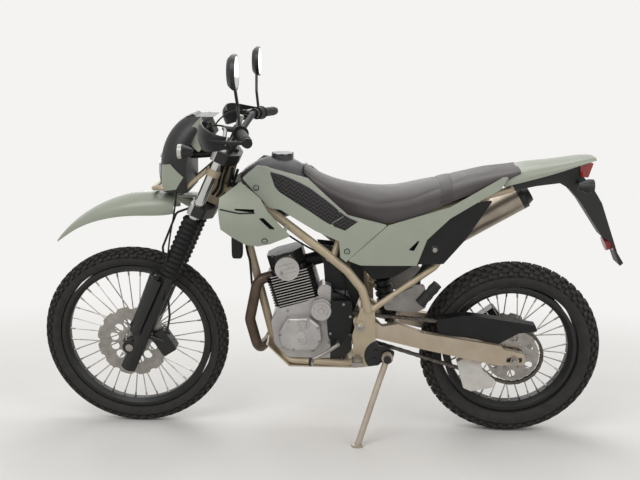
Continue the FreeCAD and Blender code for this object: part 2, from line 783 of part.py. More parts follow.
def cylinder_head():
    """The finned head with its cover and the round ribbed cam cover."""
    base = BARREL_FINS * FIN_PITCH
    fins_top = base + HEAD_FINS * FIN_PITCH
    parts = [cylinder_block(HEAD_LENGTH, HEAD_WIDTH, base, fins_top + FIN_PITCH, FIN_PITCH)]
    parts += fins(base, HEAD_FINS)
    high = fins_top + HEAD_COVER_HEIGHT
    parts.append(cylinder_block(HEAD_LENGTH, HEAD_WIDTH, fins_top, high, HEAD_COVER_CORNER))
    middle = fins_top + CAM_COVER_UP
    face = -HEAD_WIDTH / 2 - CAM_COVER_DEPTH
    inner = -HEAD_WIDTH / 2 + FIN_THICKNESS
    parts.append(rod(along_cylinder(0, inner, middle), along_cylinder(0, face, middle), CAM_COVER_RADIUS))
    thick, long, proud = CAM_RIB
    lean = FreeCAD.Rotation(ALONG_Y, -CYLINDER_LEAN_DEG)
    for up in CAM_RIBS:
        place = FreeCAD.Placement(along_cylinder(long / 2, face - proud, middle + up - thick / 2), lean)
        parts.append(box_at(V(0, 0, 0), long, 2 * proud, thick, place))
    return fused(parts)


def crankcase():
    """The crankcase with the clutch cover on its right and the starter on its left."""
    case = plate(in_box(CASE_SHARES, *CASE_PLACE), -CASE_HALF, CASE_HALF, CASE_CORNER)
    parts = [
        cross_rod(CLUTCH_COVER_PLACE, CASE_HALF, CASE_HALF + COVER_DEPTH, CLUTCH_COVER_RADIUS),
        cross_rod(CLUTCH_NOSE_PLACE, CASE_HALF, CASE_HALF + CLUTCH_NOSE_DEPTH, CLUTCH_NOSE_RADIUS),
        cross_rod(STARTER_PLACE, -STARTER_REACH, 0, STARTER_RADIUS),
        cross_rod(STARTER_TOP_PLACE, -STARTER_TOP_REACH, 0, STARTER_TOP_RADIUS),
        rod(along_cylinder(0, 0, -CYLINDER_FOOT), along_cylinder(0, 0, 0), BARREL_FOOT_RADIUS),
    ]
    return fused([case] + parts).cut(cylinder())


def generator_cover():
    """The left-hand generator cover, with its two plugs."""
    face = -CASE_HALF - COVER_DEPTH
    body = plate(in_box(GENERATOR_SHARES, *GENERATOR_PLACE), face, -CASE_HALF, CASE_CORNER)
    edges = [e for e in body.Edges if abs(e.CenterOfMass.y - face) < GAP]
    body = body.makeFillet(GENERATOR_EDGE, edges)
    plugs = [cross_rod(place, face - FIN_THICKNESS, face + FIN_THICKNESS, radius) for place, radius in PLUGS]
    return fused([body] + plugs)


def sprocket_cover():
    """The cover over the drive sprocket, open where the chain runs in and out."""
    outline = in_box(SPROCKET_COVER_SHARES, *SPROCKET_COVER_PLACE)
    body = plate(outline, -SPROCKET_COVER_Y, -CASE_HALF, SPROCKET_COVER_CORNER)
    room = Part.Face(chain_line().makeOffset2D(CHAIN_HEIGHT / 2 + MOVING_GAP))
    half = CHAIN_HALF + MOVING_GAP
    room.translate(V(0, -half, 0))
    return body.cut(room.extrude(V(0, 2 * half, 0)))


BASH_PLACE = (-196.0, 262.0, 330.0, 86.0)
BASH_HALF = 82.0
BASH_SHARES = [(0.00, 1.00), (0.02, 1.00), (0.26, 0.10), (1.00, 0.10), (1.00, 0.04), (0.25, 0.04)]


def bash_plate():
    """The folded guard plate under the cradle."""
    return plate(in_box(BASH_SHARES, *BASH_PLACE), -BASH_HALF, BASH_HALF)


HEADER_RADIUS = 19.0
HEADER_BEND = 47.5
HEADER_POINTS = [
    (-150.0, -24.0, 600.0), (-228.0, -42.0, 578.0), (-258.0, -42.0, 430.0), (-230.0, -24.0, 304.0),
    (-196.0, 96.0, 304.0), (-150.0, 136.0, 440.0), (-60.0, 140.0, 485.0),
]
HEADER_STRAIGHT = 300.0
HEADER_INSIDE = 10.0
MUFFLER_START = (410.0, 168.0, 662.0)
MUFFLER_END = (752.0, 168.0, 868.0)
MUFFLER_RADIUS = 46.0
MUFFLER_SLEEVE = 23.0
MUFFLER_CONE = 80.0
MUFFLER_CAP = 42.0
MUFFLER_CAP_RADIUS = 47.4
MUFFLER_TIP_RADIUS = 32.0
MUFFLER_OUTLET_RADIUS = 14.0


def muffler_line():
    """The muffler's front end, direction and length."""
    start = V(*MUFFLER_START)
    along = V(*MUFFLER_END) - start
    length = along.Length
    along.normalize()
    return start, along, length


def exhaust_pipe(head, radius):
    """The header from the head down past the engine and back along the right side."""
    start, along, length = muffler_line()
    route = [V(*p) for p in HEADER_POINTS]
    route += [start - along * HEADER_STRAIGHT, start + along * HEADER_INSIDE]
    return tube(route, radius, HEADER_BEND).cut(head)


def muffler():
    """The silencer: a tapered front cone, a round can and an end cap with its outlet."""
    start, along, length = muffler_line()
    quarter = MUFFLER_CONE / 4
    sleeve = length - MUFFLER_CAP - MUFFLER_CONE

    def at(reach):
        return start + along * reach

    can = fused([
        Part.makeCylinder(MUFFLER_SLEEVE, MUFFLER_CONE, start, along),
        Part.makeCone(MUFFLER_SLEEVE, MUFFLER_RADIUS, MUFFLER_CONE, at(quarter), along),
        Part.makeCylinder(MUFFLER_RADIUS, sleeve, at(MUFFLER_CONE + quarter), along),
        Part.makeCone(MUFFLER_CAP_RADIUS, MUFFLER_TIP_RADIUS, MUFFLER_CAP, at(length - MUFFLER_CAP), along),
    ])
    return can.cut(Part.makeCylinder(MUFFLER_OUTLET_RADIUS, MUFFLER_CAP, at(length - MUFFLER_CAP / 2), along))


# Bodywork

POST_RADIUS = 7.0
TANK_CROWN_SHARE = 0.45
TANK_STATIONS = [
    (-282.0, 40.0, 948.0, 962.0), (-255.0, 78.0, 925.0, 985.0), (-200.0, 92.0, 895.0, 1012.0),
    (-90.0, 94.0, 860.0, 1003.0), (-30.0, 84.0, 830.0, 952.0), (55.0, 70.0, 790.0, 880.0),
]
TANK_SPAR_ROOM = 1.0
CAP_PLACE = (-140.0, 992.0)
CAP_RADIUS = 38.0
CAP_TOP = 1030.0
CAP_GRIPS = 8
CAP_GRIP_RADIUS = 7.0
SKIN_HEIGHTS = [1040.0, 960.0, 860.0, 760.0, 670.0]
PANEL_PLACE = (-266.0, 684.0, 489.0, 319.0)
PANEL_SHARES = [
    (0.00, 0.87), (0.03, 0.91), (0.10, 1.00), (0.16, 0.99), (0.45, 0.88), (0.73, 0.51), (1.00, 0.41),
    (0.72, 0.00), (0.68, 0.05), (0.67, 0.23), (0.51, 0.34), (0.27, 0.56), (0.19, 0.58),
]
PANEL_POSTS = [(-170.0, 940.0, 80.0), (-40.0, 885.0, 74.0)]
PANEL_SKIN = [
    (-300.0, [84.0, 118.0, 142.0, 150.0, 150.0]),
    (-100.0, [92.0, 126.0, 154.0, 160.0, 158.0]),
    (90.0, [92.0, 126.0, 150.0, 152.0, 150.0]),
    (260.0, [95.0, 130.0, 147.0, 148.0, 148.0]),
]
SHROUD_HEIGHTS = [975.0, 900.0, 850.0, 800.0, 730.0]
SHROUD_PLACE = (-336.0, 740.0, 236.0, 218.0)
SHROUD_SHARES = [
    (0.30, 1.00), (0.01, 0.77), (0.00, 0.57), (0.02, 0.29), (0.17, 0.16), (0.36, 0.03), (0.53, 0.00),
    (0.71, 0.04), (1.00, 0.17), (0.95, 0.23), (0.68, 0.58), (0.58, 0.76),
]
SHROUD_SKIN = [
    (-345.0, [172.0, 190.0, 204.0, 196.0, 176.0]),
    (-220.0, [166.0, 186.0, 200.0, 192.0, 172.0]),
    (-90.0, [152.0, 166.0, 176.0, 172.0, 162.0]),
]
SHROUD_POSTS = [(-118.0, 800.0, 120.0)]
SHROUD_VENTS = [
    [(-205.0, 844.0), (-187.0, 844.0), (-148.0, 802.0), (-169.0, 804.0)],
    [(-284.0, 875.0), (-217.0, 873.0), (-219.0, 861.0), (-280.0, 869.0)],
]
SIDE_PLACE = (92.0, 674.0, 530.0, 304.0)
SIDE_SHARES = [
    (0.25, 0.46), (0.64, 0.67), (0.96, 0.99), (1.00, 1.00), (0.95, 0.86), (0.81, 0.72), (0.64, 0.54),
    (0.50, 0.30), (0.44, 0.00), (0.08, 0.00), (0.00, 0.05),
]
SIDE_SKIN = [
    (85.0, [110.0, 130.0, 146.0, 150.0, 150.0]),
    (300.0, [112.0, 130.0, 144.0, 148.0, 146.0]),
    (480.0, [105.0, 124.0, 132.0, 128.0, 124.0]),
    (640.0, [96.0, 112.0, 112.0, 106.0, 100.0]),
]
SIDE_POSTS = [(180.0, 740.0, 70.0), (470.0, 878.0, 80.0)]
SIDE_VENTS = [[(294.0, 729.0), (339.0, 775.0), (314.0, 726.0)]]
REAR_COVER_PLACE = (323.0, 674.0, 251.0, 222.0)
REAR_COVER_SHARES = [
    (0.00, 0.00), (0.13, 0.40), (0.43, 0.73), (0.79, 0.97), (1.00, 1.00), (0.66, 0.38), (0.38, 0.00),
]
REAR_COVER_INSET = 14.0
REAR_COVER_POSTS = [(352.0, 712.0, 60.0), (385.0, 752.0, 60.0)]
VENT_CORNER = 3.0


def skin(rows, heights, inset):
    """The curved wall that a row of side panels is cut from."""
    stations = [(x, [(-(y - inset), z) for y, z in zip(widths, heights)]) for x, widths in rows]
    return side_skin(stations, PANEL_WALL)


def between(low, high, value, low_result, high_result):
    """The straight share of a value between two others."""
    share = (value - low) / (high - low)
    return low_result * (1 - share) + high_result * share


def skin_depth(rows, heights, x, z):
    """The side wall's half width near a place, by straight shares between its stations."""
    def across(row):
        for i in range(len(heights) - 1):
            if heights[i] >= z >= heights[i + 1]:
                return between(heights[i], heights[i + 1], z, row[i], row[i + 1])
        return row[-1]

    for (x0, first), (x1, second) in zip(rows, rows[1:]):
        if x0 <= x <= x1:
            return between(x0, x1, x, across(first), across(second))
    return across(rows[-1][1])


def panel(outline, rows, heights, posts, vents=(), inset=0.0):
    """A side panel: its outline cut from the curved wall, with vents and mounting posts behind."""
    reach = 2 * max(max(widths) for x, widths in rows)
    shape = skin(rows, heights, inset).common(plate(outline, -reach, 0, PANEL_WALL))
    if vents:
        shape = shape.cut([plate(vent, -reach, 0, VENT_CORNER) for vent in vents])
    parts = [shape]
    for x, z, inner in posts:
        outer = skin_depth(rows, heights, x, z) - inset - PANEL_WALL / 2
        parts.append(cross_rod((x, z), -outer, -inner, POST_RADIUS))
    return fused(parts)


def fuel_tank():
    """The tank with its raised, gripped cap, narrow enough to sit between the spars."""
    wires = [arch(x, half, low, high, TANK_CROWN_SHARE) for x, half, low, high in TANK_STATIONS]
    body = Part.makeLoft(wires, True, False)
    x, low = CAP_PLACE
    cap = rod(V(x, 0, low), V(x, 0, CAP_TOP), CAP_RADIUS)
    grips = []
    for i in range(CAP_GRIPS):
        turn = 2 * math.pi * i / CAP_GRIPS
        foot = V(x + CAP_RADIUS * math.cos(turn), CAP_RADIUS * math.sin(turn), CAP_TOP - CAP_GRIP_RADIUS)
        grips.append(rod(foot, foot + UPRIGHT * OVERRUN, CAP_GRIP_RADIUS))
    for side, _ in SIDES:
        body = body.cut(spar(side, SPAR_RADIUS + TANK_SPAR_ROOM))
    return fused([body, cap.cut(grips)])


SEAT_CROWN_SHARE = 0.35
SEAT_STATIONS = [
    (-62.0, 58.0, 968.0, 992.0), (-15.0, 78.0, 908.0, 962.0), (60.0, 92.0, 850.0, 936.0),
    (150.0, 120.0, 822.0, 920.0), (240.0, 132.0, 820.0, 918.0), (330.0, 132.0, 845.0, 934.0),
    (430.0, 122.0, 890.0, 955.0), (560.0, 106.0, 940.0, 986.0), (664.0, 84.0, 984.0, 1000.0),
]


def seat():
    """The long two-person saddle as one plain cushion."""
    wires = [arch(x, half, low, high, SEAT_CROWN_SHARE) for x, half, low, high in SEAT_STATIONS]
    return Part.makeLoft(wires, True, False)


AIRBOX_PLACE = (72.0, 600.0, 340.0, 210.0)
AIRBOX_HALF = 80.0
AIRBOX_CORNER = 10.0
AIRBOX_SHARES = [
    (0.00, 0.80), (0.25, 1.00), (0.50, 1.00), (0.72, 1.00), (0.95, 0.95), (1.00, 0.62), (0.92, 0.34),
    (0.72, 0.25), (0.54, 0.06), (0.32, 0.00), (0.18, 0.25), (0.03, 0.45),
]


def airbox():
    """The air filter box under the seat."""
    return plate(in_box(AIRBOX_SHARES, *AIRBOX_PLACE), -AIRBOX_HALF, AIRBOX_HALF, AIRBOX_CORNER)


TAIL_STATIONS = [
    (612.0, 92.0, 938.0, 972.0), (660.0, 90.0, 952.0, 1000.0), (740.0, 80.0, 972.0, 1014.0),
    (830.0, 66.0, 998.0, 1026.0), (922.0, 44.0, 1024.0, 1033.0),
]
FENDER_ARCH_SHARES = [(1.00, 0.00), (0.86, 0.70), (0.45, 0.94)]


def arch_wall(x, half, low, high):
    """Outer and inner points of an open arch across the machine."""
    right = [V(x, out * half, low + up * (high - low)) for out, up in FENDER_ARCH_SHARES]
    outer = [V(p.x, -p.y, p.z) for p in right] + [V(x, 0, high)] + right[::-1]
    squeeze = (half - PANEL_WALL) / half
    inner = [V(x, p.y * squeeze, p.z - PANEL_WALL) for p in outer]
    inner[0].z = low
    inner[-1].z = low
    return outer, inner


def tail_fender():
    """The painted tail that runs out behind the seat."""
    return wall_loft([arch_wall(*station) for station in TAIL_STATIONS])


TAIL_LIGHT_PLACE = (868.0, 966.0, 46.0, 50.0)
TAIL_LIGHT_HALF = 42.0
TAIL_LIGHT_SHARES = [(0.00, 1.00), (1.00, 1.00), (0.70, 0.00), (0.15, 0.02)]


def tail_light():
    """The red lamp under the tail's tip."""
    return plate(in_box(TAIL_LIGHT_SHARES, *TAIL_LIGHT_PLACE), -TAIL_LIGHT_HALF, TAIL_LIGHT_HALF, PANEL_WALL)


BRACKET_HALF = 34.0
BRACKET_PLACE = (640.0, 644.0, 412.0, 374.0)
BRACKET_SHARES = [
    (0.00, 0.79), (0.20, 0.86), (0.42, 0.95), (0.56, 0.98), (0.60, 0.86), (0.68, 0.77), (0.77, 0.62),
    (0.94, 0.15), (1.00, 0.05), (0.97, 0.02), (0.88, 0.25), (0.80, 0.30), (0.59, 0.63), (0.49, 0.75),
    (0.41, 0.80), (0.22, 0.77), (0.02, 0.72),
]
SIGNAL_LENGTH = 48.0
SIGNAL_RADIUS = 24.0
SIGNAL_TAPER_RADIUS = 11.0
SIGNAL_FACE_SHARE = 0.35
SIGNAL_STALK = 7.0
REAR_SIGNAL_PLACE = (868.0, 950.0)
REAR_SIGNAL_Y = 115.0
REAR_SIGNAL_LENS = 29.0
REFLECTOR_RADIUS = 26.0
REFLECTOR_DEPTH = 14.0
REFLECTOR_SLOPE = 0.4
REFLECTOR_PLACE = (1000.0, 729.0)


def lamp_pod(place, facing):
    """A small round lamp housing that tapers away from its lens."""
    knee = place + facing * (SIGNAL_LENGTH * SIGNAL_FACE_SHARE)
    taper = SIGNAL_LENGTH * (1 - SIGNAL_FACE_SHARE)
    cone = Part.makeCone(SIGNAL_RADIUS, SIGNAL_TAPER_RADIUS, taper, knee, facing)
    return fused([rod(place, knee, SIGNAL_RADIUS), cone])


def plate_bracket(tail):
    """The rear mudguard and number plate carrier with its two signal lamps and reflector."""
    parts = [plate(in_box(BRACKET_SHARES, *BRACKET_PLACE), -BRACKET_HALF, BRACKET_HALF, PANEL_WALL)]
    x, z = REAR_SIGNAL_PLACE
    parts.append(cross_rod((x, z), -REAR_SIGNAL_Y, REAR_SIGNAL_Y, SIGNAL_STALK))
    for side, _ in SIDES:
        parts.append(lamp_pod(V(x + REAR_SIGNAL_LENS, side * REAR_SIGNAL_Y, z), V(-1, 0, 0)))
    x, z = REFLECTOR_PLACE
    start = V(x, 0, z)
    slope = V(1, 0, REFLECTOR_SLOPE)
    slope.normalize()
    parts.append(rod(start - slope * REFLECTOR_DEPTH, start + slope * REFLECTOR_DEPTH, REFLECTOR_RADIUS))
    return fused(parts).cut(tail)


# Shock, pegs and levers

SHOCK_TOP = (205.0, 640.0)
SHOCK_LOW = (246.0, 420.0)
SPRING_RADIUS = 33.0
SPRING_WIRE = 6.0
SPRING_TURNS = 6
SPRING_SPAN_SHARES = (0.10, 0.78)
COIL_SHARES = [(0.00, 0.0), (0.12, 1.0), (0.50, 1.0), (0.62, 0.0)]
SHOCK_EYE_RADIUS = 16.5
SHOCK_BODY_RADIUS = 19.8
SHOCK_EYE_SHARE = 0.08


def shock():
    """The rear damper with its spring as stacked coils."""
    top, low = V(SHOCK_TOP[0], 0, SHOCK_TOP[1]), V(SHOCK_LOW[0], 0, SHOCK_LOW[1])
    along = top - low
    length = along.Length
    start, end = (share * length for share in SPRING_SPAN_SHARES)
    pitch = (end - start) / SPRING_TURNS
    profile = [(0, 0), (SHOCK_EYE_RADIUS, 0), (SHOCK_EYE_RADIUS, length * SHOCK_EYE_SHARE)]
    for i in range(SPRING_TURNS):
        for up, out in COIL_SHARES:
            profile.append((SPRING_RADIUS - SPRING_WIRE * (1 - out), start + (i + up) * pitch))
    profile += [(SHOCK_BODY_RADIUS, end), (SHOCK_BODY_RADIUS, length), (0, length)]
    along.normalize()
    return turned_along(profile, low, along)


PEG_PLACE = (132.0, 330.0)
PEG_LENGTH = 78.0
PEG_ROD_RADIUS = 10.5
PEG_TREAD = (39.0, 54.6, 15.0)
PEG_TREAD_DROP = 4.5
PEG_WINDOW = (23.0, 30.0)


def footpeg():
    """A rider's peg: a short arm from the pivot plate with an open tread frame on its end."""
    x, z = PEG_PLACE
    start = -PIVOT_PLATE_Y - PIVOT_PLATE
    long, wide, deep = PEG_TREAD
    tread = box_at(V(x - long / 2, start - PEG_LENGTH, z - PEG_TREAD_DROP), long, wide, deep)
    open_long, open_wide = PEG_WINDOW
    middle = start - PEG_LENGTH + wide / 2
    window = box_at(V(x - open_long / 2, middle - open_wide / 2, z - deep), open_long, open_wide, 2 * deep)
    arm = cross_rod(PEG_PLACE, start - PEG_LENGTH + wide - PEG_TREAD_DROP, start, PEG_ROD_RADIUS)
    return fused([tread.cut(window), arm])


REAR_PEG_PLACE = (372.0, 568.0)
REAR_PEG_RADIUS = 17.0
REAR_PEG_RIB_RADIUS = 18.5
REAR_PEG_RIBS = 6
REAR_PEG_LENGTH = 92.0
REAR_PEG_Y = 128.0
REAR_PEG_SLOPE_DEG = 52.0
REAR_BRACKET_PLACE = (215.0, 498.0, 150.0, 100.0)
REAR_BRACKET_INNER = 101.5
REAR_BRACKET_OUTER = 124.6
REAR_BRACKET_SHARES = [(0.00, 0.36), (0.06, 0.08), (0.78, 0.00), (1.00, 0.18), (0.96, 1.00), (0.60, 0.86)]
REAR_BRACKET_CORNER = 11.0
REAR_BRACKET_BOLTS = [(238.0, 520.0), (262.0, 548.0)]
BOLT_RADIUS = 8.0
BOLT_PROUD = 4.0


def passenger_peg(frame_shape):
    """A folded, ribbed passenger peg on a cast bracket outside the seat strut."""
    outline = in_box(REAR_BRACKET_SHARES, *REAR_BRACKET_PLACE)
    parts = [plate(outline, -REAR_BRACKET_OUTER, -REAR_BRACKET_INNER, REAR_BRACKET_CORNER)]
    for place in REAR_BRACKET_BOLTS:
        parts.append(cross_rod(place, -REAR_BRACKET_OUTER - BOLT_PROUD, -REAR_BRACKET_INNER, BOLT_RADIUS))
    slope = math.radians(REAR_PEG_SLOPE_DEG)
    along = V(math.cos(slope), 0, math.sin(slope))
    start = V(REAR_PEG_PLACE[0], -REAR_PEG_Y, REAR_PEG_PLACE[1]) - along * (REAR_PEG_LENGTH / 2)
    pitch = REAR_PEG_LENGTH / REAR_PEG_RIBS
    profile = [(0, 0)]
    for i in range(REAR_PEG_RIBS):
        radius = REAR_PEG_RADIUS if i % 2 else REAR_PEG_RIB_RADIUS
        profile += [(radius, i * pitch), (radius, (i + 1) * pitch)]
    profile.append((0, REAR_PEG_LENGTH))
    parts.append(turned_along(profile, start, along))
    return fused(parts).cut(frame_shape)


SHIFT_SHAFT = (62.0, 372.0)
SHIFT_KNEE = (12.0, 336.0)
SHIFT_TIP = (-31.0, 312.0)
SHIFT_Y = 128.0
SHIFT_PAD_LENGTH = 34.0
SHIFT_PAD_RADIUS = 9.1
LEVER_RADIUS = 7.0
LEVER_BEND = 20.0
PEDAL_Y = 138.0
PEDAL_SHAFT = (132.0, 306.0)
PEDAL_KNEE = (72.0, 300.0)
PEDAL_TIP = (-36.0, 338.0)
PEDAL_EYE_RADIUS = 9.8
PEDAL_EYE_PROUD = 11.2
PEDAL_PAD_LENGTH = 32.0
PEDAL_PAD_RADIUS = 10.5
PEDAL_BEND = 30.0


def shift_lever():
    """The gear lever on the left, below the generator cover."""
    shaft, knee, tip = (V(x, -SHIFT_Y, z) for x, z in (SHIFT_SHAFT, SHIFT_KNEE, SHIFT_TIP))
    parts = [
        cross_rod(SHIFT_SHAFT, -SHIFT_Y, -CASE_HALF - GAP, LEVER_RADIUS),
        tube([shaft, knee, tip], LEVER_RADIUS, LEVER_BEND),
        rod(tip, tip - V(0, SHIFT_PAD_LENGTH, 0), SHIFT_PAD_RADIUS),
    ]
    return fused(parts)


def brake_pedal():
    """The rear brake pedal on the right."""
    shaft, knee, tip = (V(x, PEDAL_Y, z) for x, z in (PEDAL_SHAFT, PEDAL_KNEE, PEDAL_TIP))
    parts = [
        cross_rod(PEDAL_SHAFT, PIVOT_PLATE_Y + PIVOT_PLATE, PEDAL_Y + PEDAL_EYE_PROUD, PEDAL_EYE_RADIUS),
        tube([shaft, knee, tip], LEVER_RADIUS, PEDAL_BEND),
        rod(tip, tip + V(0, PEDAL_PAD_LENGTH, 0), PEDAL_PAD_RADIUS),
    ]
    return fused(parts)


# Fork and front end


def tilted_box(lead, y, up, length, width, height):
    """A block square to the fork that runs back from a distance ahead of the steering axis."""
    place = FreeCAD.Placement(F(lead, y - width / 2, up), FreeCAD.Rotation(UPRIGHT, STEER_AXIS))
    return box_at(V(0, 0, 0), length, width, height, place)


def fork_guard(y):
    """The moulded guard that wraps the front and outside of a slider."""
    foot = F(FORK_LEAD + FORK_GUARD_LEAD, y, FORK_GUARD_LOW)
    wide, narrow = FORK_GUARD_HIGH_RADIUS, FORK_GUARD_LOW_RADIUS
    outer = Part.makeCone(narrow, wide, FORK_GUARD_LENGTH, foot, STEER_AXIS)
    wall = FORK_GUARD_WALL
    inner = Part.makeCone(narrow - wall, wide - wall, FORK_GUARD_LENGTH, foot, STEER_AXIS)
    behind = tilted_box(FORK_LEAD + FORK_GUARD_BACK, y, 0, 4 * wide, 4 * wide, 2 * FORK_GUARD_LENGTH)
    reach = 2 * FORK_GUARD_LENGTH
    inboard = box_at(
        V(foot.x - reach, -FORK_HALF + SLIDER_RADIUS, foot.z - reach),
        2 * reach, 2 * (FORK_HALF - SLIDER_RADIUS),
        3 * reach,
    )
    return outer.cut([inner, behind, inboard])


def fork_leg():
    """The left leg: chromed inner tube, slider with its axle boss, and the slider's guard."""
    y = -FORK_HALF
    parts = [
        rod(F(FORK_LEAD, y, GAITER_FOOT - OVERRUN), F(FORK_LEAD, y, FORK_TOP_UP), FORK_TUBE_RADIUS),
        rod(F(FORK_LEAD, y, -SLIDER_FOOT), F(FORK_LEAD, y, GAITER_FOOT), SLIDER_RADIUS),
        cross_rod(AXLE_F, y + SLIDER_RADIUS, y - AXLE_BOSS_REACH, AXLE_BOSS_RADIUS),
        fork_guard(y),
    ]
    for up in FORK_GUARD_RIBS:
        lead = FORK_LEAD + FORK_GUARD_RIB_LENGTH
        parts.append(tilted_box(lead, y, up, FORK_GUARD_RIB_LENGTH, SLIDER_RADIUS, FORK_GUARD_RIB_DEPTH))
    bore = cross_rod(AXLE_F, -2 * FORK_HALF, 0, AXLE_RADIUS)
    return largest(fused(parts).cut(bore))


def gaiter():
    """The ribbed rubber bellows over the left inner tube."""
    pitch = (GAITER_TOP - GAITER_FOOT) / GAITER_RIBS
    profile = [(FORK_TUBE_RADIUS, 0)]
    for i in range(GAITER_RIBS):
        profile += [(GAITER_WAIST, i * pitch), (GAITER_RADIUS, (i + 0.5) * pitch)]
    length = GAITER_TOP - GAITER_FOOT
    profile += [(GAITER_WAIST, length), (FORK_TUBE_RADIUS, length)]
    return turned_along(profile, F(FORK_LEAD, -FORK_HALF, GAITER_FOOT), STEER_AXIS)


RISER_Y = 46.0
RISER_HEIGHT = 44.0
RISER_RADIUS = 15.4


def clamp_plate(up):
    """One cast clamp: a wide front edge across both legs that narrows back to the stem."""
    reach = CLAMP_BOSS_RADIUS
    wide = FORK_HALF + reach
    waist = wide * CLAMP_WAIST_SHARE
    lead = [
        (-reach, waist), (-reach, -waist), (FORK_LEAD - reach, -wide), (FORK_LEAD + reach, -wide),
        (FORK_LEAD + reach, wide), (FORK_LEAD - reach, wide),
    ]
    face = Part.Face(rounded_wire([F(a, b, up) for a, b in lead], FORK_TUBE_RADIUS, True))
    return face.extrude(STEER_AXIS * CLAMP_DEPTH)


def fork_clamps():
    """Upper and lower clamps with the steering stem between them and the bar's risers on top."""
    top = UPPER_CLAMP_UP + CLAMP_DEPTH
    parts = [clamp_plate(LOWER_CLAMP_UP), clamp_plate(UPPER_CLAMP_UP)]
    parts.append(rod(F(0, 0, LOWER_CLAMP_UP), F(0, 0, top + STEM_NUT_DEPTH), STEM_RADIUS))
    bores = []
    for side, _ in SIDES:
        foot = F(FORK_LEAD / 2, side * RISER_Y, top)
        parts.append(rod(foot, foot + STEER_AXIS * RISER_HEIGHT, RISER_RADIUS))
        y = side * FORK_HALF
        tip = F(FORK_LEAD, y, FORK_TOP_UP + OVERRUN)
        bores.append(rod(F(FORK_LEAD, y, GAITER_FOOT), tip, FORK_TUBE_RADIUS))
    return fused(parts).cut(bores)


LOOP_RADIUS = 8.0
LOOP_POINTS = [(-483.0, 88.0, 902.0), (-556.0, 84.0, 919.0), (-586.0, 46.0, 906.0)]
LOOP_BEND = 32.0
LOOP_CLIP_UP = 708.0
LOOP_CLIP_HALF = 11.0
LOOP_CLIP_RADIUS = 25.0


def fork_loop():
    """The painted tube that runs round under the mask from a clip on each fork tube."""
    parts, bores, ends = [], [], []
    for side, _ in SIDES:
        y = side * FORK_HALF
        low = F(FORK_LEAD, y, LOOP_CLIP_UP - LOOP_CLIP_HALF)
        high = F(FORK_LEAD, y, LOOP_CLIP_UP + LOOP_CLIP_HALF)
        parts.append(rod(low, high, LOOP_CLIP_RADIUS))
        bores.append(rod(low - STEER_AXIS * OVERRUN, high + STEER_AXIS * OVERRUN, FORK_TUBE_RADIUS))
        start = F(FORK_LEAD + FORK_TUBE_RADIUS + FORK_GUARD_WALL, y, LOOP_CLIP_UP)
        ends.append([start] + [V(x, side * across, z) for x, across, z in LOOP_POINTS])
    parts.append(tube(ends[0] + ends[1][::-1], LOOP_RADIUS, LOOP_BEND))
    return fused(parts).cut(bores)


BAR_RADIUS = 11.0
BAR_BENDS = [(62.0, 398.0, 78.0), (9.3, 207.0, 67.0), (0.0, 99.5, 0.0)]
BAR_BEND = 50.0


def bar_points(side):
    """The handlebar's bends on one side, from its tip inwards: back, out and up."""
    middle = UPPER_CLAMP_UP + CLAMP_DEPTH + RISER_HEIGHT
    return [F(FORK_LEAD / 2 - back, side * out, middle + rise) for back, out, rise in BAR_BENDS]


def handlebar(clamps):
    """The raised handlebar, seated in its risers."""
    return tube(bar_points(-1) + bar_points(1)[::-1], BAR_RADIUS, BAR_BEND).cut(clamps)


def bar_end():
    """The bar's left tip and the direction along it towards the first bend."""
    end, bend, _ = bar_points(-1)
    along = bend - end
    along.normalize()
    return end, along


GRIP_RADIUS = 17.0
GRIP_FLANGE_RADIUS = 25.0
GRIP_FLANGE = 5.0
GRIP_LENGTH = 122.0
GRIP_CAP = 6.8
SWITCH_LENGTH = 44.0
SWITCH_RADIUS = 23.0
PERCH_LENGTH = 22.0
PERCH_RADIUS = 18.4
PERCH_ARM_RADIUS = 9.0
PERCH_REACH = 46.0
HAND_LEVER_RADIUS = 6.0
HAND_LEVER_BEND = 20.0
HAND_LEVER_KNEE = 40.0
HAND_LEVER_REACH = 64.0
HAND_LEVER_INSET = 8.0
AHEAD = V(-1, 0, 0.1)


def control(bar):
    """The left grip with its flange, and the switch block beside it."""
    end, along = bar_end()
    inner = end + along * GRIP_LENGTH
    parts = [
        rod(end - along * GRIP_CAP, inner, GRIP_RADIUS),
        rod(inner - along * GRIP_FLANGE, inner, GRIP_FLANGE_RADIUS),
        rod(inner, inner + along * SWITCH_LENGTH, SWITCH_RADIUS),
    ]
    return fused(parts).cut(bar)


def hand_lever(bar):
    """The left lever's clamp on the bar, its pivot arm and the lever in front of the grip."""
    end, along = bar_end()
    near = end + along * (GRIP_LENGTH + SWITCH_LENGTH + GAP)
    middle = near + along * (PERCH_LENGTH / 2)
    knuckle = middle + AHEAD * PERCH_REACH
    tip = end + AHEAD * HAND_LEVER_REACH + along * HAND_LEVER_INSET
    parts = [
        rod(near, near + along * PERCH_LENGTH, PERCH_RADIUS),
        rod(middle, knuckle, PERCH_ARM_RADIUS),
        tube([knuckle, knuckle - along * HAND_LEVER_KNEE, tip], HAND_LEVER_RADIUS, HAND_LEVER_BEND),
    ]
    return fused(parts).cut(bar)


HANDGUARD_WALL = 4.0
GUARD_BULGE = 10.0
GUARD_BELLY_SHARES = (0.3, 0.4)
GUARD_ROWS = [
    (-6.0, 60.0, 20.0, 14.0), (20.0, 112.0, 36.0, 26.0),
    (100.0, 126.0, 44.0, 34.0), (175.0, 112.0, 40.0, 26.0),
    (215.0, 90.0, 22.0, 12.0),
]
GUARD_STRAP = [(-18.0, 0.0), (-22.0, 50.0), (6.0, 108.0)]
GUARD_STRAP_RADIUS = 6.0
GUARD_STRAP_BEND = 20.0
GUARD_PLUG = (24.0, 7.0)
GUARD_PLUG_RADIUS = 15.3


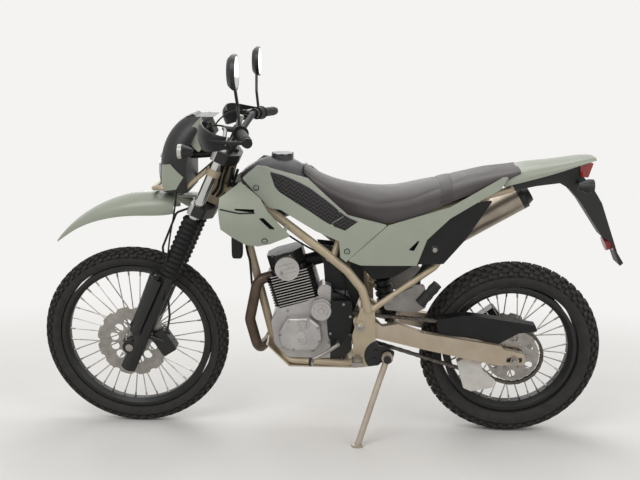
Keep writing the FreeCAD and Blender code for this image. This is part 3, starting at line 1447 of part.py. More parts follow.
def handguard(others):
    """The left moulded hand guard, held at the bar's end and bowed round the lever."""
    end, along = bar_end()
    down, up = GUARD_BELLY_SHARES
    rows = []
    for reach, ahead, low, high in GUARD_ROWS:
        base = end + along * reach - V(ahead, 0, 0)
        outer = [
            base - V(0, 0, low),
            base - V(GUARD_BULGE, 0, low * down),
            base - V(GUARD_BULGE, 0, -high * up),
            base + V(0, 0, high),
        ]
        inner = [p + V(HANDGUARD_WALL, 0, 0) for p in outer]
        rows.append((outer, inner))
    strap = [end + along * reach - V(ahead, 0, 0) for reach, ahead in GUARD_STRAP]
    far, near = GUARD_PLUG
    plug = rod(end - along * far, end - along * near, GUARD_PLUG_RADIUS)
    return fused([wall_loft(rows), tube(strap, GUARD_STRAP_RADIUS, GUARD_STRAP_BEND), plug]).cut(others)


MIRROR_RADIUS = 54.0
MIRROR_BALL_RADIUS = 67.5
MIRROR_DEPTH = 26.0
MIRROR_PLACE = (-276.0, -312.0, 1322.0)
MIRROR_STEM = 5.0
MIRROR_STEM_BEND = 16.0
MIRROR_FOOT = (144.0, 16.1)
MIRROR_KNEE = (-6.0, 6.0, 66.0)


def mirror(others):
    """The left round mirror on its bent stem."""
    end, along = bar_end()
    inset, up = MIRROR_FOOT
    foot = end + along * inset + V(0, 0, up)
    middle = V(*MIRROR_PLACE)
    face = V(MIRROR_DEPTH, 0, 0)
    ball = Part.makeSphere(MIRROR_BALL_RADIUS, middle + V(MIRROR_RADIUS, 0, 0))
    dish = rod(middle, middle + face, MIRROR_RADIUS).common(ball)
    stem = tube([foot, foot + V(*MIRROR_KNEE), middle + face / 2], MIRROR_STEM, MIRROR_STEM_BEND)
    return fused([stem, dish]).cut(others)


COWL_STATIONS = [
    (903.0, -552.0, 98.0), (985.0, -552.0, 110.0), (1054.0, -541.0, 104.0), (1120.0, -506.0, 84.0),
    (1158.0, -460.0, 62.0),
]
COWL_DEPTH = 96.0
COWL_CURVE_SHARES = [(1.00, 1.00), (0.35, 1.00), (0.06, 0.72)]
LAMP_HEIGHT = 978.0
LAMP_RADIUS = 62.0
LAMP_PROUD = 6.0
LAMP_FACE_X = -620.0
LAMP_BACK_X = -530.0
WING_OUTLINE = [(-404.0, 1161.0), (-468.0, 1094.0), (-416.0, 1041.0), (-374.0, 1092.0)]
WING_Y = 84.0
WING_STAY_DEPTH = 24.0
WING_STAY_OUTLINE = [(-452.0, 1040.0), (-452.0, 1120.0), (-400.0, 1120.0), (-394.0, 1096.0), (-400.0, 1060.0)]
LOWER_PANEL_OUTLINE = [(-540.0, 999.0), (-507.0, 1005.0), (-465.0, 960.0), (-492.0, 918.0), (-547.0, 907.0)]
LOWER_PANEL_INNER = 74.0
LOWER_PANEL_OUTER = 160.0
MASK_STAY = (-470.0, 1020.0)
MASK_STAY_RADIUS = 16.0
METER_OUTLINE = [(-460.0, 1156.0), (-437.0, 1166.0), (-398.0, 1134.0), (-406.0, 1090.0), (-456.0, 1090.0)]
METER_HALF = 52.0
METER_CORNER = 8.0
FRONT_SIGNAL_PLACE = (-466.0, 1058.0)
FRONT_SIGNAL_Y = 176.0
FRONT_SIGNAL_STALK = 60.0
FRONT_STALK_BACK = 19.0


def cowl(grow):
    """The mask's closed form, enlarged outwards by a wall."""
    wires = []
    for z, front, half in COWL_STATIONS:
        back = front + COWL_DEPTH
        right = []
        for behind, out in COWL_CURVE_SHARES:
            x = back if behind == 1 else front - grow + COWL_DEPTH * behind
            right.append(V(x, (half + grow) * out, z))
        left = [V(p.x, -p.y, p.z) for p in right]
        points = left + [V(front - grow, 0, z)] + right[::-1]
        wires.append(Part.Wire([spline_edge(points), Part.makeLine(points[-1], points[0])]))
    return Part.makeLoft(wires, True, False)


def headlight_lens():
    """The round lamp glass set into the front of the mask."""
    whole = rod(V(LAMP_FACE_X, 0, LAMP_HEIGHT), V(LAMP_BACK_X, 0, LAMP_HEIGHT), LAMP_RADIUS)
    return whole.common(cowl(LAMP_PROUD))


def headlight_shell(lens, loop):
    """The mask with its lamp stalks, the meter on its back, its side stays and its stay to the fork."""
    x, z = MASK_STAY
    parts = [
        cowl(0),
        rod(V(x, 0, z), F(FORK_LEAD, 0, UPPER_CLAMP_UP + CLAMP_DEPTH / 2), MASK_STAY_RADIUS),
        plate(METER_OUTLINE, -METER_HALF, METER_HALF, METER_CORNER),
    ]
    x, z = FRONT_SIGNAL_PLACE
    for side, _ in SIDES:
        parts.append(plate(WING_STAY_OUTLINE, side * (WING_Y - WING_STAY_DEPTH), side * WING_Y, PANEL_WALL))
        parts.append(lamp_pod(V(x, side * FRONT_SIGNAL_Y, z), V(1, 0, 0)))
        stalk = (x + FRONT_STALK_BACK, z)
        parts.append(cross_rod(stalk, side * FRONT_SIGNAL_STALK, side * FRONT_SIGNAL_Y, SIGNAL_STALK))
    return largest(fused(parts).cut([lens, loop]))


def headlight_panel(shell, lens, loop):
    """The mask's painted parts on each side: a low panel that hugs it and a diamond wing above."""
    wrap = cowl(PANEL_WALL)
    solids = []
    for side, _ in SIDES:
        low = wrap.common(plate(LOWER_PANEL_OUTLINE, side * LOWER_PANEL_INNER, side * LOWER_PANEL_OUTER))
        solids.append(largest(low.cut([shell, lens, loop])))
        solids.append(plate(WING_OUTLINE, side * WING_Y, side * (WING_Y + PANEL_WALL), PANEL_WALL).cut(shell))
    return Part.Compound(solids)


FENDER_STATIONS = [
    (-949.0, 20.0, 700.0, 708.0), (-900.0, 44.0, 735.0, 762.0), (-853.0, 58.0, 764.0, 800.0),
    (-753.0, 70.0, 800.0, 854.0), (-680.0, 74.0, 812.0, 877.0), (-582.0, 72.0, 815.0, 890.0),
    (-516.0, 60.0, 820.0, 884.0),
]
TONGUE_PLACE = (-520.0, 872.0)
TONGUE = (110.0, 60.0, 8.0)
FENDER_POST_Z = 878.0
FENDER_POST_RADIUS = 18.0


def front_fender(clamps):
    """The high front fender, hung under the lower clamp by a tongue and a post."""
    x, z = TONGUE_PLACE
    long, wide, deep = TONGUE
    tongue = box_at(V(x, -wide / 2, z), long, wide, deep)
    top = F(FORK_LEAD, 0, LOWER_CLAMP_UP) + UPRIGHT * MOVING_GAP
    post = rod(V(x, 0, FENDER_POST_Z), top, FENDER_POST_RADIUS)
    head = rod(F(0, 0, 0), F(0, 0, UPPER_CLAMP_UP), HEAD_RADIUS + MOVING_GAP)
    wall = wall_loft([arch_wall(*station) for station in FENDER_STATIONS])
    return fused([wall, tongue, post]).cut([clamps, head])


FRONT_AXLE_COLLAR = 13.5
FRONT_AXLE_SPACER = 12.6


def front_axle():
    """The front axle through both fork feet, with its collars and spacers."""
    half = FORK_HALF + SLIDER_RADIUS
    parts = [cross_rod(AXLE_F, -half, half, AXLE_RADIUS)]
    for side, _ in SIDES:
        parts.append(cross_rod(AXLE_F, side * (FORK_HALF + AXLE_BOSS_REACH), side * half, FRONT_AXLE_COLLAR))
        inner = FRONT_HUB_HALF + MOVING_GAP
        parts.append(cross_rod(AXLE_F, side * inner, side * (FORK_HALF - SLIDER_RADIUS), FRONT_AXLE_SPACER))
    return fused(parts)


def disc_room(axle, y, radius):
    """The space that a turning disc needs inside its caliper."""
    return ring(axle, 0, radius + MOVING_GAP, y, DISC_THICKNESS + 2 * MOVING_GAP)


def caliper_block(place, turn_deg, y):
    """A caliper's body astride its disc, turned about a cross axis."""
    x, z = place
    turn = math.radians(turn_deg)
    half = DISC_THICKNESS / 2 + MOVING_GAP + CALIPER_WALL
    corners = [(-1, -1), (1, -1), (1, 1), (-1, 1)]
    outline = []
    for a, b in corners:
        along, across = a * CALIPER_LENGTH / 2, b * CALIPER_HEIGHT / 2
        outline.append((
            x + along * math.cos(turn) - across * math.sin(turn),
            z + along * math.sin(turn) + across * math.cos(turn),
        ))
    return plate(outline, y - half, y + half, CALIPER_CORNER)


HOSE_RADIUS = 4.0
HOSE_BEND = 24.0
HOSE_ROUTE = [
    (-50.0, -76.0, 70.0), (-30.0, -66.0, 150.0), (40.0, -60.0, 285.0), (90.0, -66.0, 380.0),
    (92.0, -75.0, 520.0), (52.0, -80.0, 560.0),
]


def front_caliper(leg, clamps):
    """The front caliper behind the left leg, with its stay and its hose up to the lower clamp."""
    slot = disc_room(AXLE_F, -FRONT_DISC_Y, FRONT_DISC_RADIUS)
    body = caliper_block(FRONT_CALIPER_PLACE, FRONT_CALIPER_TURN_DEG, -FRONT_DISC_Y)
    outside = -FRONT_DISC_Y - DISC_THICKNESS / 2 - MOVING_GAP - CALIPER_WALL / 2
    x, z = FRONT_CALIPER_PLACE
    stay = rod(V(x, outside, z), F(FORK_LEAD, -FORK_HALF, FRONT_CALIPER_STAY_UP), CALIPER_STAY_RADIUS)
    hose = tube([F(*p) for p in HOSE_ROUTE], HOSE_RADIUS, HOSE_BEND)
    return largest(fused([body.cut(slot), stay, hose]).cut([leg, slot, clamps]))


def rear_caliper(arm):
    """The rear caliper over its disc, with its stay down to the right arm."""
    slot = disc_room(AXLE_R, REAR_DISC_Y, REAR_DISC_RADIUS)
    body = caliper_block(REAR_CALIPER_PLACE, REAR_CALIPER_TURN_DEG, REAR_DISC_Y)
    outside = REAR_DISC_Y + DISC_THICKNESS / 2 + MOVING_GAP + CALIPER_WALL / 2
    x, z = REAR_CALIPER_PLACE
    hold = V(x - CALIPER_CORNER, ARM_Y, z - REAR_CALIPER_STAY_DROP)
    stay = rod(V(x, outside, z), hold, CALIPER_STAY_RADIUS)
    return largest(fused([body.cut(slot), stay]).cut([arm, slot]))


# Side stand

STAND_PIVOT = V(236.0, -146.0, 335.0)
STAND_SPREAD = 243.0
STAND_FOOT_X = 136.0
STAND_KNEE_SHARE = 0.25
STAND_KNEE_IN = 6.0
TYRE_SINK = 0.8
STAND_RADIUS = 11.0
STAND_BEND = 30.0
STAND_EYE = 20.0
STAND_EYE_HALF = 8.0
STAND_PAD_RADIUS = 21.0
STAND_PAD = 7.0
STAND_PIN_RADIUS = 7.2
STAND_BOLT_RADIUS = 13.5
STAND_BOLT_REACH = 168.0
STAND_BOLT_HEAD = 6.0
STAND_BRACKET_OUTLINE = [(170.0, 300.0), (255.0, 318.0), (262.0, 350.0), (225.0, 372.0), (165.0, 365.0)]
STAND_BRACKET_CORNER = 8.0
STAND_BRACKET_BOLTS = [(190.0, 320.0), (196.0, 350.0)]

STAND_FOOT = V(STAND_FOOT_X, -STAND_SPREAD, STAND_SPREAD * math.tan(math.radians(LEAN_DEG)) - TYRE_SINK)


def side_stand():
    """The stand's leg with its eye round the pivot bolt and the pad flat on the ground."""
    half = V(0, STAND_EYE_HALF, 0)
    knee = STAND_PIVOT + (STAND_FOOT - STAND_PIVOT) * STAND_KNEE_SHARE + V(0, STAND_KNEE_IN, 0)
    lean = math.radians(LEAN_DEG)
    up = V(0, math.sin(lean), math.cos(lean))
    parts = [
        rod(STAND_PIVOT - half, STAND_PIVOT + half, STAND_EYE),
        tube([STAND_PIVOT, knee, STAND_FOOT], STAND_RADIUS, STAND_BEND),
        rod(STAND_FOOT, STAND_FOOT + up * STAND_PAD, STAND_PAD_RADIUS),
    ]
    wide = 4 * STAND_PAD_RADIUS
    below = FreeCAD.Placement(STAND_FOOT, FreeCAD.Rotation(UPRIGHT, up))
    ground = box_at(V(-wide, -wide, -wide), 2 * wide, 2 * wide, wide)
    ground.Placement = below
    pin = cross_rod((STAND_PIVOT.x, STAND_PIVOT.z), -2 * STAND_SPREAD, 0, STAND_PIN_RADIUS + GAP)
    return fused(parts).cut([ground, pin])


def stand_bracket():
    """The bracket on the frame that holds the stand's pivot bolt."""
    place = (STAND_PIVOT.x, STAND_PIVOT.z)
    outer = PIVOT_PLATE_Y + PIVOT_PLATE
    parts = [
        plate(STAND_BRACKET_OUTLINE, -outer, -PIVOT_PLATE_Y, STAND_BRACKET_CORNER),
        cross_rod(place, -STAND_BOLT_REACH, -PIVOT_PLATE_Y, STAND_PIN_RADIUS),
        cross_rod(place, -STAND_BOLT_REACH, -STAND_BOLT_REACH + STAND_BOLT_HEAD, STAND_BOLT_RADIUS),
    ]
    for bolt in STAND_BRACKET_BOLTS:
        parts.append(cross_rod(bolt, -outer - BOLT_PROUD, -PIVOT_PLATE_Y, BOLT_RADIUS))
    return fused(parts)


# The whole machine

SOUND_ROOM = 9.2


def both(left):
    """A left piece and its mirror image on the right as one node."""
    return Part.Compound([left, mirrored(left)])


def chassis_pieces(pieces):
    """Frame, drive and engine."""
    whole = fused([frame(), stand_bracket()])
    arm = swingarm()
    head = cylinder_head()
    pieces["frame"] = whole
    pieces["swingarm"] = arm
    pieces["rear_axle"] = rear_axle()
    pieces["chain"] = chain()
    pieces["chain_guard"] = chain_guard(arm)
    pieces["chain_guide"] = chain_guide(arm)
    case = largest(crankcase().cut(whole))
    cover = generator_cover()
    pieces["crankcase"] = case
    pieces["cylinder"] = cylinder()
    pieces["cylinder_head"] = head.cut(whole)
    pieces["generator_cover"] = cover
    pieces["sprocket_cover"] = largest(sprocket_cover().cut([case, cover]))
    pieces["exhaust_pipe"] = exhaust_pipe(head, HEADER_RADIUS)
    pieces["bash_plate"] = largest(bash_plate().cut([whole, exhaust_pipe(head, HEADER_RADIUS + MOVING_GAP)]))
    pieces["muffler"] = muffler().cut(pieces["exhaust_pipe"])
    pieces["shift_lever"] = shift_lever().cut(pieces["sprocket_cover"])
    pieces["footpegs"] = both(footpeg())
    pieces["passenger_pegs"] = both(passenger_peg(whole))
    pieces["brake_pedal"] = brake_pedal().cut(mirrored(footpeg()))
    pieces["rear_caliper"] = rear_caliper(arm)


def body_pieces(pieces):
    """Tank, seat, air box, panels and the tail."""
    whole = pieces["frame"]
    tank = fuel_tank()
    cushion = seat()
    tail = tail_fender()
    sound = rod(V(*MUFFLER_START), V(*MUFFLER_END), MUFFLER_RADIUS + SOUND_ROOM)
    cover = panel(
        in_box(REAR_COVER_SHARES, *REAR_COVER_PLACE), SIDE_SKIN, SKIN_HEIGHTS, REAR_COVER_POSTS,
        inset=REAR_COVER_INSET,
    )
    box = airbox().cut(whole)
    box = fused([box, largest(cover.cut(whole)), largest(mirrored(cover).cut([whole, sound]))])
    walls = {
        "tank_panels": panel(in_box(PANEL_SHARES, *PANEL_PLACE), PANEL_SKIN, SKIN_HEIGHTS, PANEL_POSTS),
        "shrouds": panel(
            in_box(SHROUD_SHARES, *SHROUD_PLACE), SHROUD_SKIN, SHROUD_HEIGHTS, SHROUD_POSTS, SHROUD_VENTS
        ),
        "side_panels": panel(
            in_box(SIDE_SHARES, *SIDE_PLACE), SIDE_SKIN, SKIN_HEIGHTS, SIDE_POSTS, SIDE_VENTS
        ),
    }
    others = [whole, tank, box, cushion]
    for name, wall in walls.items():
        right = mirrored(wall).cut(others + [sound])
        pieces[name] = Part.Compound([largest(wall.cut(others)), largest(right)])
    pieces["fuel_tank"] = tank.cut([whole, pieces["cylinder_head"]])
    pieces["seat"] = largest(cushion.cut([pieces["fuel_tank"], whole, tail]))
    pieces["airbox"] = largest(box.cut(pieces["seat"]))
    pieces["tail_fender"] = tail.cut(whole)
    pieces["tail_light"] = tail_light().cut(tail)
    pieces["plate_bracket"] = largest(plate_bracket(tail).cut([pieces["tail_light"], whole]))
    pieces["shock"] = largest(shock().cut([whole, pieces["swingarm"], pieces["airbox"]]))


def steering_pieces(pieces):
    """Everything that turns with the bar, but for the wheel."""
    clamps = fork_clamps()
    leg = fork_leg()
    bar = handlebar(clamps)
    grip = control(bar)
    lever = hand_lever(bar)
    loop = fork_loop()
    lens = headlight_lens()
    shell = headlight_shell(lens, loop).cut(clamps)
    pieces["fork_clamps"] = clamps
    pieces["fork_legs"] = both(leg)
    pieces["gaiters"] = both(gaiter())
    pieces["front_axle"] = front_axle().cut(pieces["fork_legs"].Solids)
    pieces["front_caliper"] = front_caliper(leg, clamps)
    pieces["handlebar"] = bar
    pieces["controls"] = both(grip)
    pieces["hand_levers"] = both(lever)
    pieces["handguards"] = both(handguard([bar, grip, lever]))
    pieces["mirrors"] = both(mirror([bar, grip, lever]))
    pieces["headlight_shell"] = shell
    pieces["headlight_lens"] = largest(lens.cut(loop))
    pieces["headlight_panel"] = headlight_panel(shell, lens, loop)
    pieces["fork_loop"] = loop
    pieces["front_fender"] = front_fender(clamps).cut(shell)


def wheel_pieces(pieces):
    """Tyres, wheels, discs and the driven sprocket."""
    pieces["front_tyre"] = tyre(
        AXLE_F, FRONT_RADIUS, FRONT_TYRE_WIDTH, FRONT_BEAD_RADIUS, FRONT_RIM_WIDTH
    )
    pieces["front_wheel"] = wheel(
        AXLE_F, FRONT_BEAD_RADIUS, FRONT_RIM_WIDTH, FRONT_RIM_DEPTH, FRONT_HUB_HALF, FRONT_HUB_FLANGE
    )
    pieces["front_disc"] = disc(AXLE_F, -FRONT_DISC_Y, FRONT_DISC_RADIUS, FRONT_HUB_HALF, FRONT_DISC_PETALS)
    pieces["rear_tyre"] = tyre(AXLE_R, REAR_RADIUS, REAR_TYRE_WIDTH, REAR_BEAD_RADIUS, REAR_RIM_WIDTH)
    pieces["rear_wheel"] = wheel(
        AXLE_R, REAR_BEAD_RADIUS, REAR_RIM_WIDTH, REAR_RIM_DEPTH, REAR_HUB_HALF, REAR_HUB_FLANGE
    )
    pieces["rear_disc"] = disc(AXLE_R, REAR_DISC_Y, REAR_DISC_RADIUS, REAR_HUB_HALF, REAR_DISC_PETALS)
    pieces["rear_sprocket"] = rear_sprocket()


def stand_on_ground(pieces):
    """Lean every piece to the left, set it on the ground and centre its footprint."""
    lean = FreeCAD.Placement(V(0, 0, 0), FreeCAD.Rotation(V(1, 0, 0), LEAN_DEG))
    box = FreeCAD.BoundBox()
    for shape in pieces.values():
        shape.Placement = lean.multiply(shape.Placement)
        box.add(shape.optimalBoundingBox(False, False))
    shift = V(-(box.XMin + box.XMax) / 2, -(box.YMin + box.YMax) / 2, -box.ZMin)
    for shape in pieces.values():
        shape.translate(shift)
    return shift


def main():
    """Shape every piece, lean the machine on its stand and write one file for each node."""
    pieces = {}
    chassis_pieces(pieces)
    body_pieces(pieces)
    steering_pieces(pieces)
    wheel_pieces(pieces)
    pieces["side_stand"] = side_stand()
    shift = stand_on_ground(pieces)
    os.makedirs("parts", exist_ok=True)
    for name, shape in pieces.items():
        if len(shape.Solids) == 1:
            shape = shape.Solids[0]
        shape.exportStep(f"parts/{name}.step")
        print(name, len(shape.Solids), shape.isValid(), round(shape.Volume))
    print("shift", shift)


main()
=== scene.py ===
import json
import math

import bpy
import numpy as np
from mathutils import Matrix, Vector


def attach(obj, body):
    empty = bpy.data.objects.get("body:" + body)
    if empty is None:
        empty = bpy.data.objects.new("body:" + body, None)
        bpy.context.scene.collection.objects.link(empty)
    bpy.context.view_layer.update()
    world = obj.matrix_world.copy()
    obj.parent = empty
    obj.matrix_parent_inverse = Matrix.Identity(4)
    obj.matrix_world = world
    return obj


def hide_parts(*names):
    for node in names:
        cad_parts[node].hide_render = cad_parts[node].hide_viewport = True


# A dual sport motorcycle leaning on its side stand. Lengths named here are millimetres on the
# upright machine: front towards -X, left side towards -Y, ground at zero, X zero midway between
# the axles. stand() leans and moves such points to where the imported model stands.

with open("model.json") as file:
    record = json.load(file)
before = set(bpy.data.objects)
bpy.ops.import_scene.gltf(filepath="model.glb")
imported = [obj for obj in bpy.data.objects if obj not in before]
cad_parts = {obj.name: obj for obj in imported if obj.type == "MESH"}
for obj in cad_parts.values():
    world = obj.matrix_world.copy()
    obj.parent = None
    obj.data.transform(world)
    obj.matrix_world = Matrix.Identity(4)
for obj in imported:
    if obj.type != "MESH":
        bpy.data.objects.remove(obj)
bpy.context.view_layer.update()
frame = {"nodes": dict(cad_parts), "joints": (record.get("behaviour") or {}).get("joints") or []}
NODES = frame["nodes"]
JOINTS = {joint["name"]: joint for joint in frame["joints"]}

FRONT_AXLE = np.array([-682.5, 0.0, 340.0])
REAR_AXLE = np.array([682.5, 0.0, 325.0])
LEAN = math.radians(10.0)
RAKE = math.radians(24.5)
AXLE_LEAD = 53.6

TILT = np.array([
    [1, 0, 0],
    [0, math.cos(LEAN), -math.sin(LEAN)],
    [0, math.sin(LEAN), math.cos(LEAN)],
])
SHIFT = np.array(JOINTS["rear_wheel_spin"]["pos_m"]) - TILT @ REAR_AXLE / 1000
STEER_AXIS = np.array([math.sin(RAKE), 0, math.cos(RAKE)])
FORWARD = np.array([-math.cos(RAKE), 0, math.sin(RAKE)])
STEER_FOOT = FRONT_AXLE - FORWARD * AXLE_LEAD


def stand(points):
    """Upright points in millimetres, leaned over and moved to the model's place in metres."""
    return np.asarray(points, float) @ TILT.T / 1000 + SHIFT


def fork(lead, y, up):
    """A point by its distance ahead of the steering axis, its side and its height along it."""
    return STEER_FOOT + FORWARD * lead + np.array([0, y, 0]) + STEER_AXIS * up


# Materials


def linear(code):
    """An sRGB hex colour as linear red, green, blue and one."""
    parts = [int(code[i:i + 2], 16) / 255 for i in (1, 3, 5)]
    return [c / 12.92 if c <= 0.04045 else ((c + 0.055) / 1.055) ** 2.4 for c in parts] + [1.0]


def add(tree, kind, settings=()):
    """A node of that kind; each setting is an attribute, an input's value or a socket to link to it."""
    item = tree.nodes.new(kind)
    for key, value in dict(settings).items():
        if isinstance(value, bpy.types.NodeSocket):
            tree.links.new(value, item.inputs[key])
        elif isinstance(key, str) and hasattr(item, key):
            setattr(item, key, value)
        else:
            item.inputs[key].default_value = value
    return item


def tones(tree, factor, stops):
    """Colours spread over a factor, from (position, colour code) stops."""
    item = add(tree, "ShaderNodeValToRGB", {0: factor})
    elements = item.color_ramp.elements
    while len(elements) < len(stops):
        elements.new(0.5)
    for element, (position, code) in zip(elements, stops):
        element.position = position
        element.color = linear(code)
    return item.outputs[0]


def surface(name, **sockets):
    """A material with its tree, its shader with constants on the sockets, and the object's places."""
    material = bpy.data.materials.new(name)
    material.use_nodes = True
    tree = material.node_tree
    shader = tree.nodes["Principled BSDF"]
    for key, value in sockets.items():
        shader.inputs[key.replace("_", " ")].default_value = value
    place = add(tree, "ShaderNodeTexCoord").outputs["Object"]
    return material, tree, shader, place


def mottle(tree, place, size_mm, detail=4.0):
    """Soft random lumps about size_mm wide, from zero to one."""
    settings = {"Scale": 1000.0 / size_mm, "Detail": detail, "Roughness": 0.55, "Vector": place}
    return add(tree, "ShaderNodeTexNoise", settings).outputs[0]


def dent(tree, shader, height, depth_mm):
    """Drives the shader's normal from a height whose full range is depth_mm deep."""
    bump = add(tree, "ShaderNodeBump", {"Distance": depth_mm / 1000, "Height": height})
    tree.links.new(bump.outputs[0], shader.inputs["Normal"])


def upright(tree, place):
    """Places on the upright machine, in metres, from places on the leaning one."""
    back = {"Location": tuple(-(TILT.T @ SHIFT)), "Rotation": (-LEAN, 0, 0), "Vector": place}
    return add(tree, "ShaderNodeMapping", back).outputs[0]


def shaded(tree, shader, place, size_mm, dark, light, detail=5.0):
    """Base colour drifting between two shades over patches about size_mm wide."""
    slow = mottle(tree, place, size_mm, detail)
    tree.links.new(tones(tree, slow, [(0.3, dark), (0.7, light)]), shader.inputs["Base Color"])


def worn(tree, shader, place, size_mm, least, most):
    """Roughness drifting between least and most over patches about size_mm wide."""
    wear = {0: mottle(tree, place, size_mm), "To Min": least, "To Max": most}
    tree.links.new(add(tree, "ShaderNodeMapRange", wear).outputs[0], shader.inputs["Roughness"])


def plain(name, dark, light, metal, rough, grain_mm, depth_mm, blotch_mm=60.0, **sockets):
    """A finish with slow colour variation, slight wear of its gloss and a fine surface grain."""
    material, tree, shader, place = surface(name, Metallic=metal, **sockets)
    shaded(tree, shader, place, blotch_mm, dark, light)
    worn(tree, shader, place, blotch_mm / 3, rough - 0.07, rough + 0.09)
    dent(tree, shader, mottle(tree, place, grain_mm, 3.0), depth_mm)
    return material


def zoned(name, first, second, zone_of, grain_mm, depth_mm, **sockets):
    """Two finishes on one piece; each is dark, light, metallic and roughness, split by zone_of."""
    material, tree, shader, place = surface(name, **sockets)
    zone = zone_of(tree, upright(tree, place))
    slow = mottle(tree, place, 50.0, 5.0)
    pair = [tones(tree, slow, [(0.3, part[0]), (0.7, part[1])]) for part in (first, second)]
    colour = add(tree, "ShaderNodeMix", {"data_type": "RGBA", 0: zone, 6: pair[0], 7: pair[1]})
    tree.links.new(colour.outputs[2], shader.inputs["Base Color"])
    metal = add(tree, "ShaderNodeMapRange", {0: zone, "To Min": first[2], "To Max": second[2]})
    tree.links.new(metal.outputs[0], shader.inputs["Metallic"])
    rough = add(tree, "ShaderNodeMapRange", {0: zone, "To Min": first[3], "To Max": second[3]})
    wear = {"operation": "MULTIPLY_ADD", 0: mottle(tree, place, 22.0), 1: 0.14, 2: rough.outputs[0]}
    tree.links.new(add(tree, "ShaderNodeMath", wear).outputs[0], shader.inputs["Roughness"])
    dent(tree, shader, mottle(tree, place, grain_mm, 3.0), depth_mm)
    return material


# Zones: where a finish changes on one piece. Each is a function of the tree and the upright place.

LEFT, RIGHT, AHEAD, BACK = (0, -1, 0), (0, 1, 0), (-1, 0, 0), (1, 0, 0)
CROSSWAYS = (1, 0, 1)


def beyond(way, reach_mm):
    """A zone: one where a place lies further than reach_mm along a direction, else zero."""
    def zone(tree, place):
        along = add(tree, "ShaderNodeVectorMath", {"operation": "DOT_PRODUCT", 0: place, 1: tuple(way)})
        return add(tree, "ShaderNodeMath", {
            "operation": "GREATER_THAN", 0: along.outputs["Value"], 1: reach_mm / 1000,
        }).outputs[0]
    return zone


def near(middle, radius_mm, spread=(1, 1, 1)):
    """A zone: one within a radius of a middle; a spread of zero along an axis makes it endless that way."""
    def zone(tree, place):
        shifted = add(tree, "ShaderNodeVectorMath", {
            "operation": "SUBTRACT", 0: place, 1: tuple(np.asarray(middle) / 1000),
        }).outputs[0]
        flat = add(tree, "ShaderNodeVectorMath", {"operation": "MULTIPLY", 0: shifted, 1: spread}).outputs[0]
        away = add(tree, "ShaderNodeVectorMath", {"operation": "LENGTH", 0: flat}).outputs["Value"]
        return add(tree, "ShaderNodeMath", {"operation": "LESS_THAN", 0: away, 1: radius_mm / 1000}).outputs[0]
    return zone


def merged(operation, zones):
    """All the zones at once with MULTIPLY, or any of them with MAXIMUM."""
    def zone(tree, place):
        result = zones[0](tree, place)
        for other in zones[1:]:
            pair = {"operation": operation, 0: result, 1: other(tree, place)}
            result = add(tree, "ShaderNodeMath", pair).outputs[0]
        return result
    return zone


def facing_back(tree, _):
    """A zone: one where the surface faces back within ten degrees (a cosine of 0.985), else zero."""
    return beyond(BACK, 985.0)(tree, add(tree, "ShaderNodeNewGeometry").outputs["Normal"])


CYLINDER_LEAN = math.radians(16.0)
CYLINDER_BASE = np.array([-84.0, 0.0, 508.0])
CYLINDER_FORWARD = np.array([-math.cos(CYLINDER_LEAN), 0, -math.sin(CYLINDER_LEAN)])
FIN_REACH, FIN_HALF, FIN_EDGE = 86.0, 75.0, 1.6
FIN_MIDDLE = CYLINDER_FORWARD @ CYLINDER_BASE
# The outer rims of the cooling fins, where the casting was machined bright.
FIN_RIMS = merged("MAXIMUM", [
    beyond(LEFT, FIN_HALF - FIN_EDGE), beyond(RIGHT, FIN_HALF - FIN_EDGE),
    beyond(CYLINDER_FORWARD, FIN_MIDDLE + FIN_REACH - FIN_EDGE),
    beyond(-CYLINDER_FORWARD, FIN_REACH - FIN_MIDDLE - FIN_EDGE),
])
# The fins' rims and the round cam cover on the head's left side.
CAM_MIDDLE, CAM_RADIUS, CAM_FACE = (-141.0, 0.0, 655.0), 50.0, 60.6
CAM_COVER = merged("MULTIPLY", [near(CAM_MIDDLE, CAM_RADIUS, CROSSWAYS), beyond(LEFT, CAM_FACE)])
BRIGHT_HEAD = merged("MAXIMUM", [FIN_RIMS, CAM_COVER])
# Everything of a wheel inside its rim.
FRONT_RIM_INSIDE, REAR_RIM_INSIDE = 249.5, 210.5
FRONT_SPOKES = near(FRONT_AXLE, FRONT_RIM_INSIDE, CROSSWAYS)
REAR_SPOKES = near(REAR_AXLE, REAR_RIM_INSIDE, CROSSWAYS)
# The fork's inner tubes, above the gaiters.
TUBES_FROM = 531.0
TUBES = beyond(STEER_AXIS, STEER_AXIS @ STEER_FOOT + TUBES_FROM)
# The bright cast front of the fork clamps.
CLAMP_FRONT = 42.0
CAST_FRONT = beyond(FORWARD, FORWARD @ STEER_FOOT + CLAMP_FRONT)
# The pale front ends of the turn signals.
SIGNAL_OUT, SIGNAL_FRONT = 150.0, 453.0
SIGNAL_SIDES = merged("MAXIMUM", [beyond(LEFT, SIGNAL_OUT), beyond(RIGHT, SIGNAL_OUT)])
SIGNAL_LENS = merged("MULTIPLY", [SIGNAL_SIDES, beyond(AHEAD, SIGNAL_FRONT)])
# The front run of the header, behind its guard and browned by heat.
HEADER_FRONT = 176.0
SCORCHED = beyond(AHEAD, HEADER_FRONT)
# The muffler's end cap.
MUFFLER_START, MUFFLER_RUN, CAP_LENGTH = np.array([410.0, 168.0, 662.0]), np.array([342.0, 0.0, 206.0]), 43.0
MUFFLER_LENGTH = math.hypot(*MUFFLER_RUN[::2])
MUFFLER_WAY = MUFFLER_RUN / MUFFLER_LENGTH
CAN_END = beyond(MUFFLER_WAY, MUFFLER_WAY @ MUFFLER_START + MUFFLER_LENGTH - CAP_LENGTH)
# The rear of the engine's left side, black around the sprocket.
DARK_FROM, DARK_OUT = 34.0, 40.0
DARK_CASE = merged("MULTIPLY", [beyond(BACK, DARK_FROM), beyond(LEFT, DARK_OUT)])
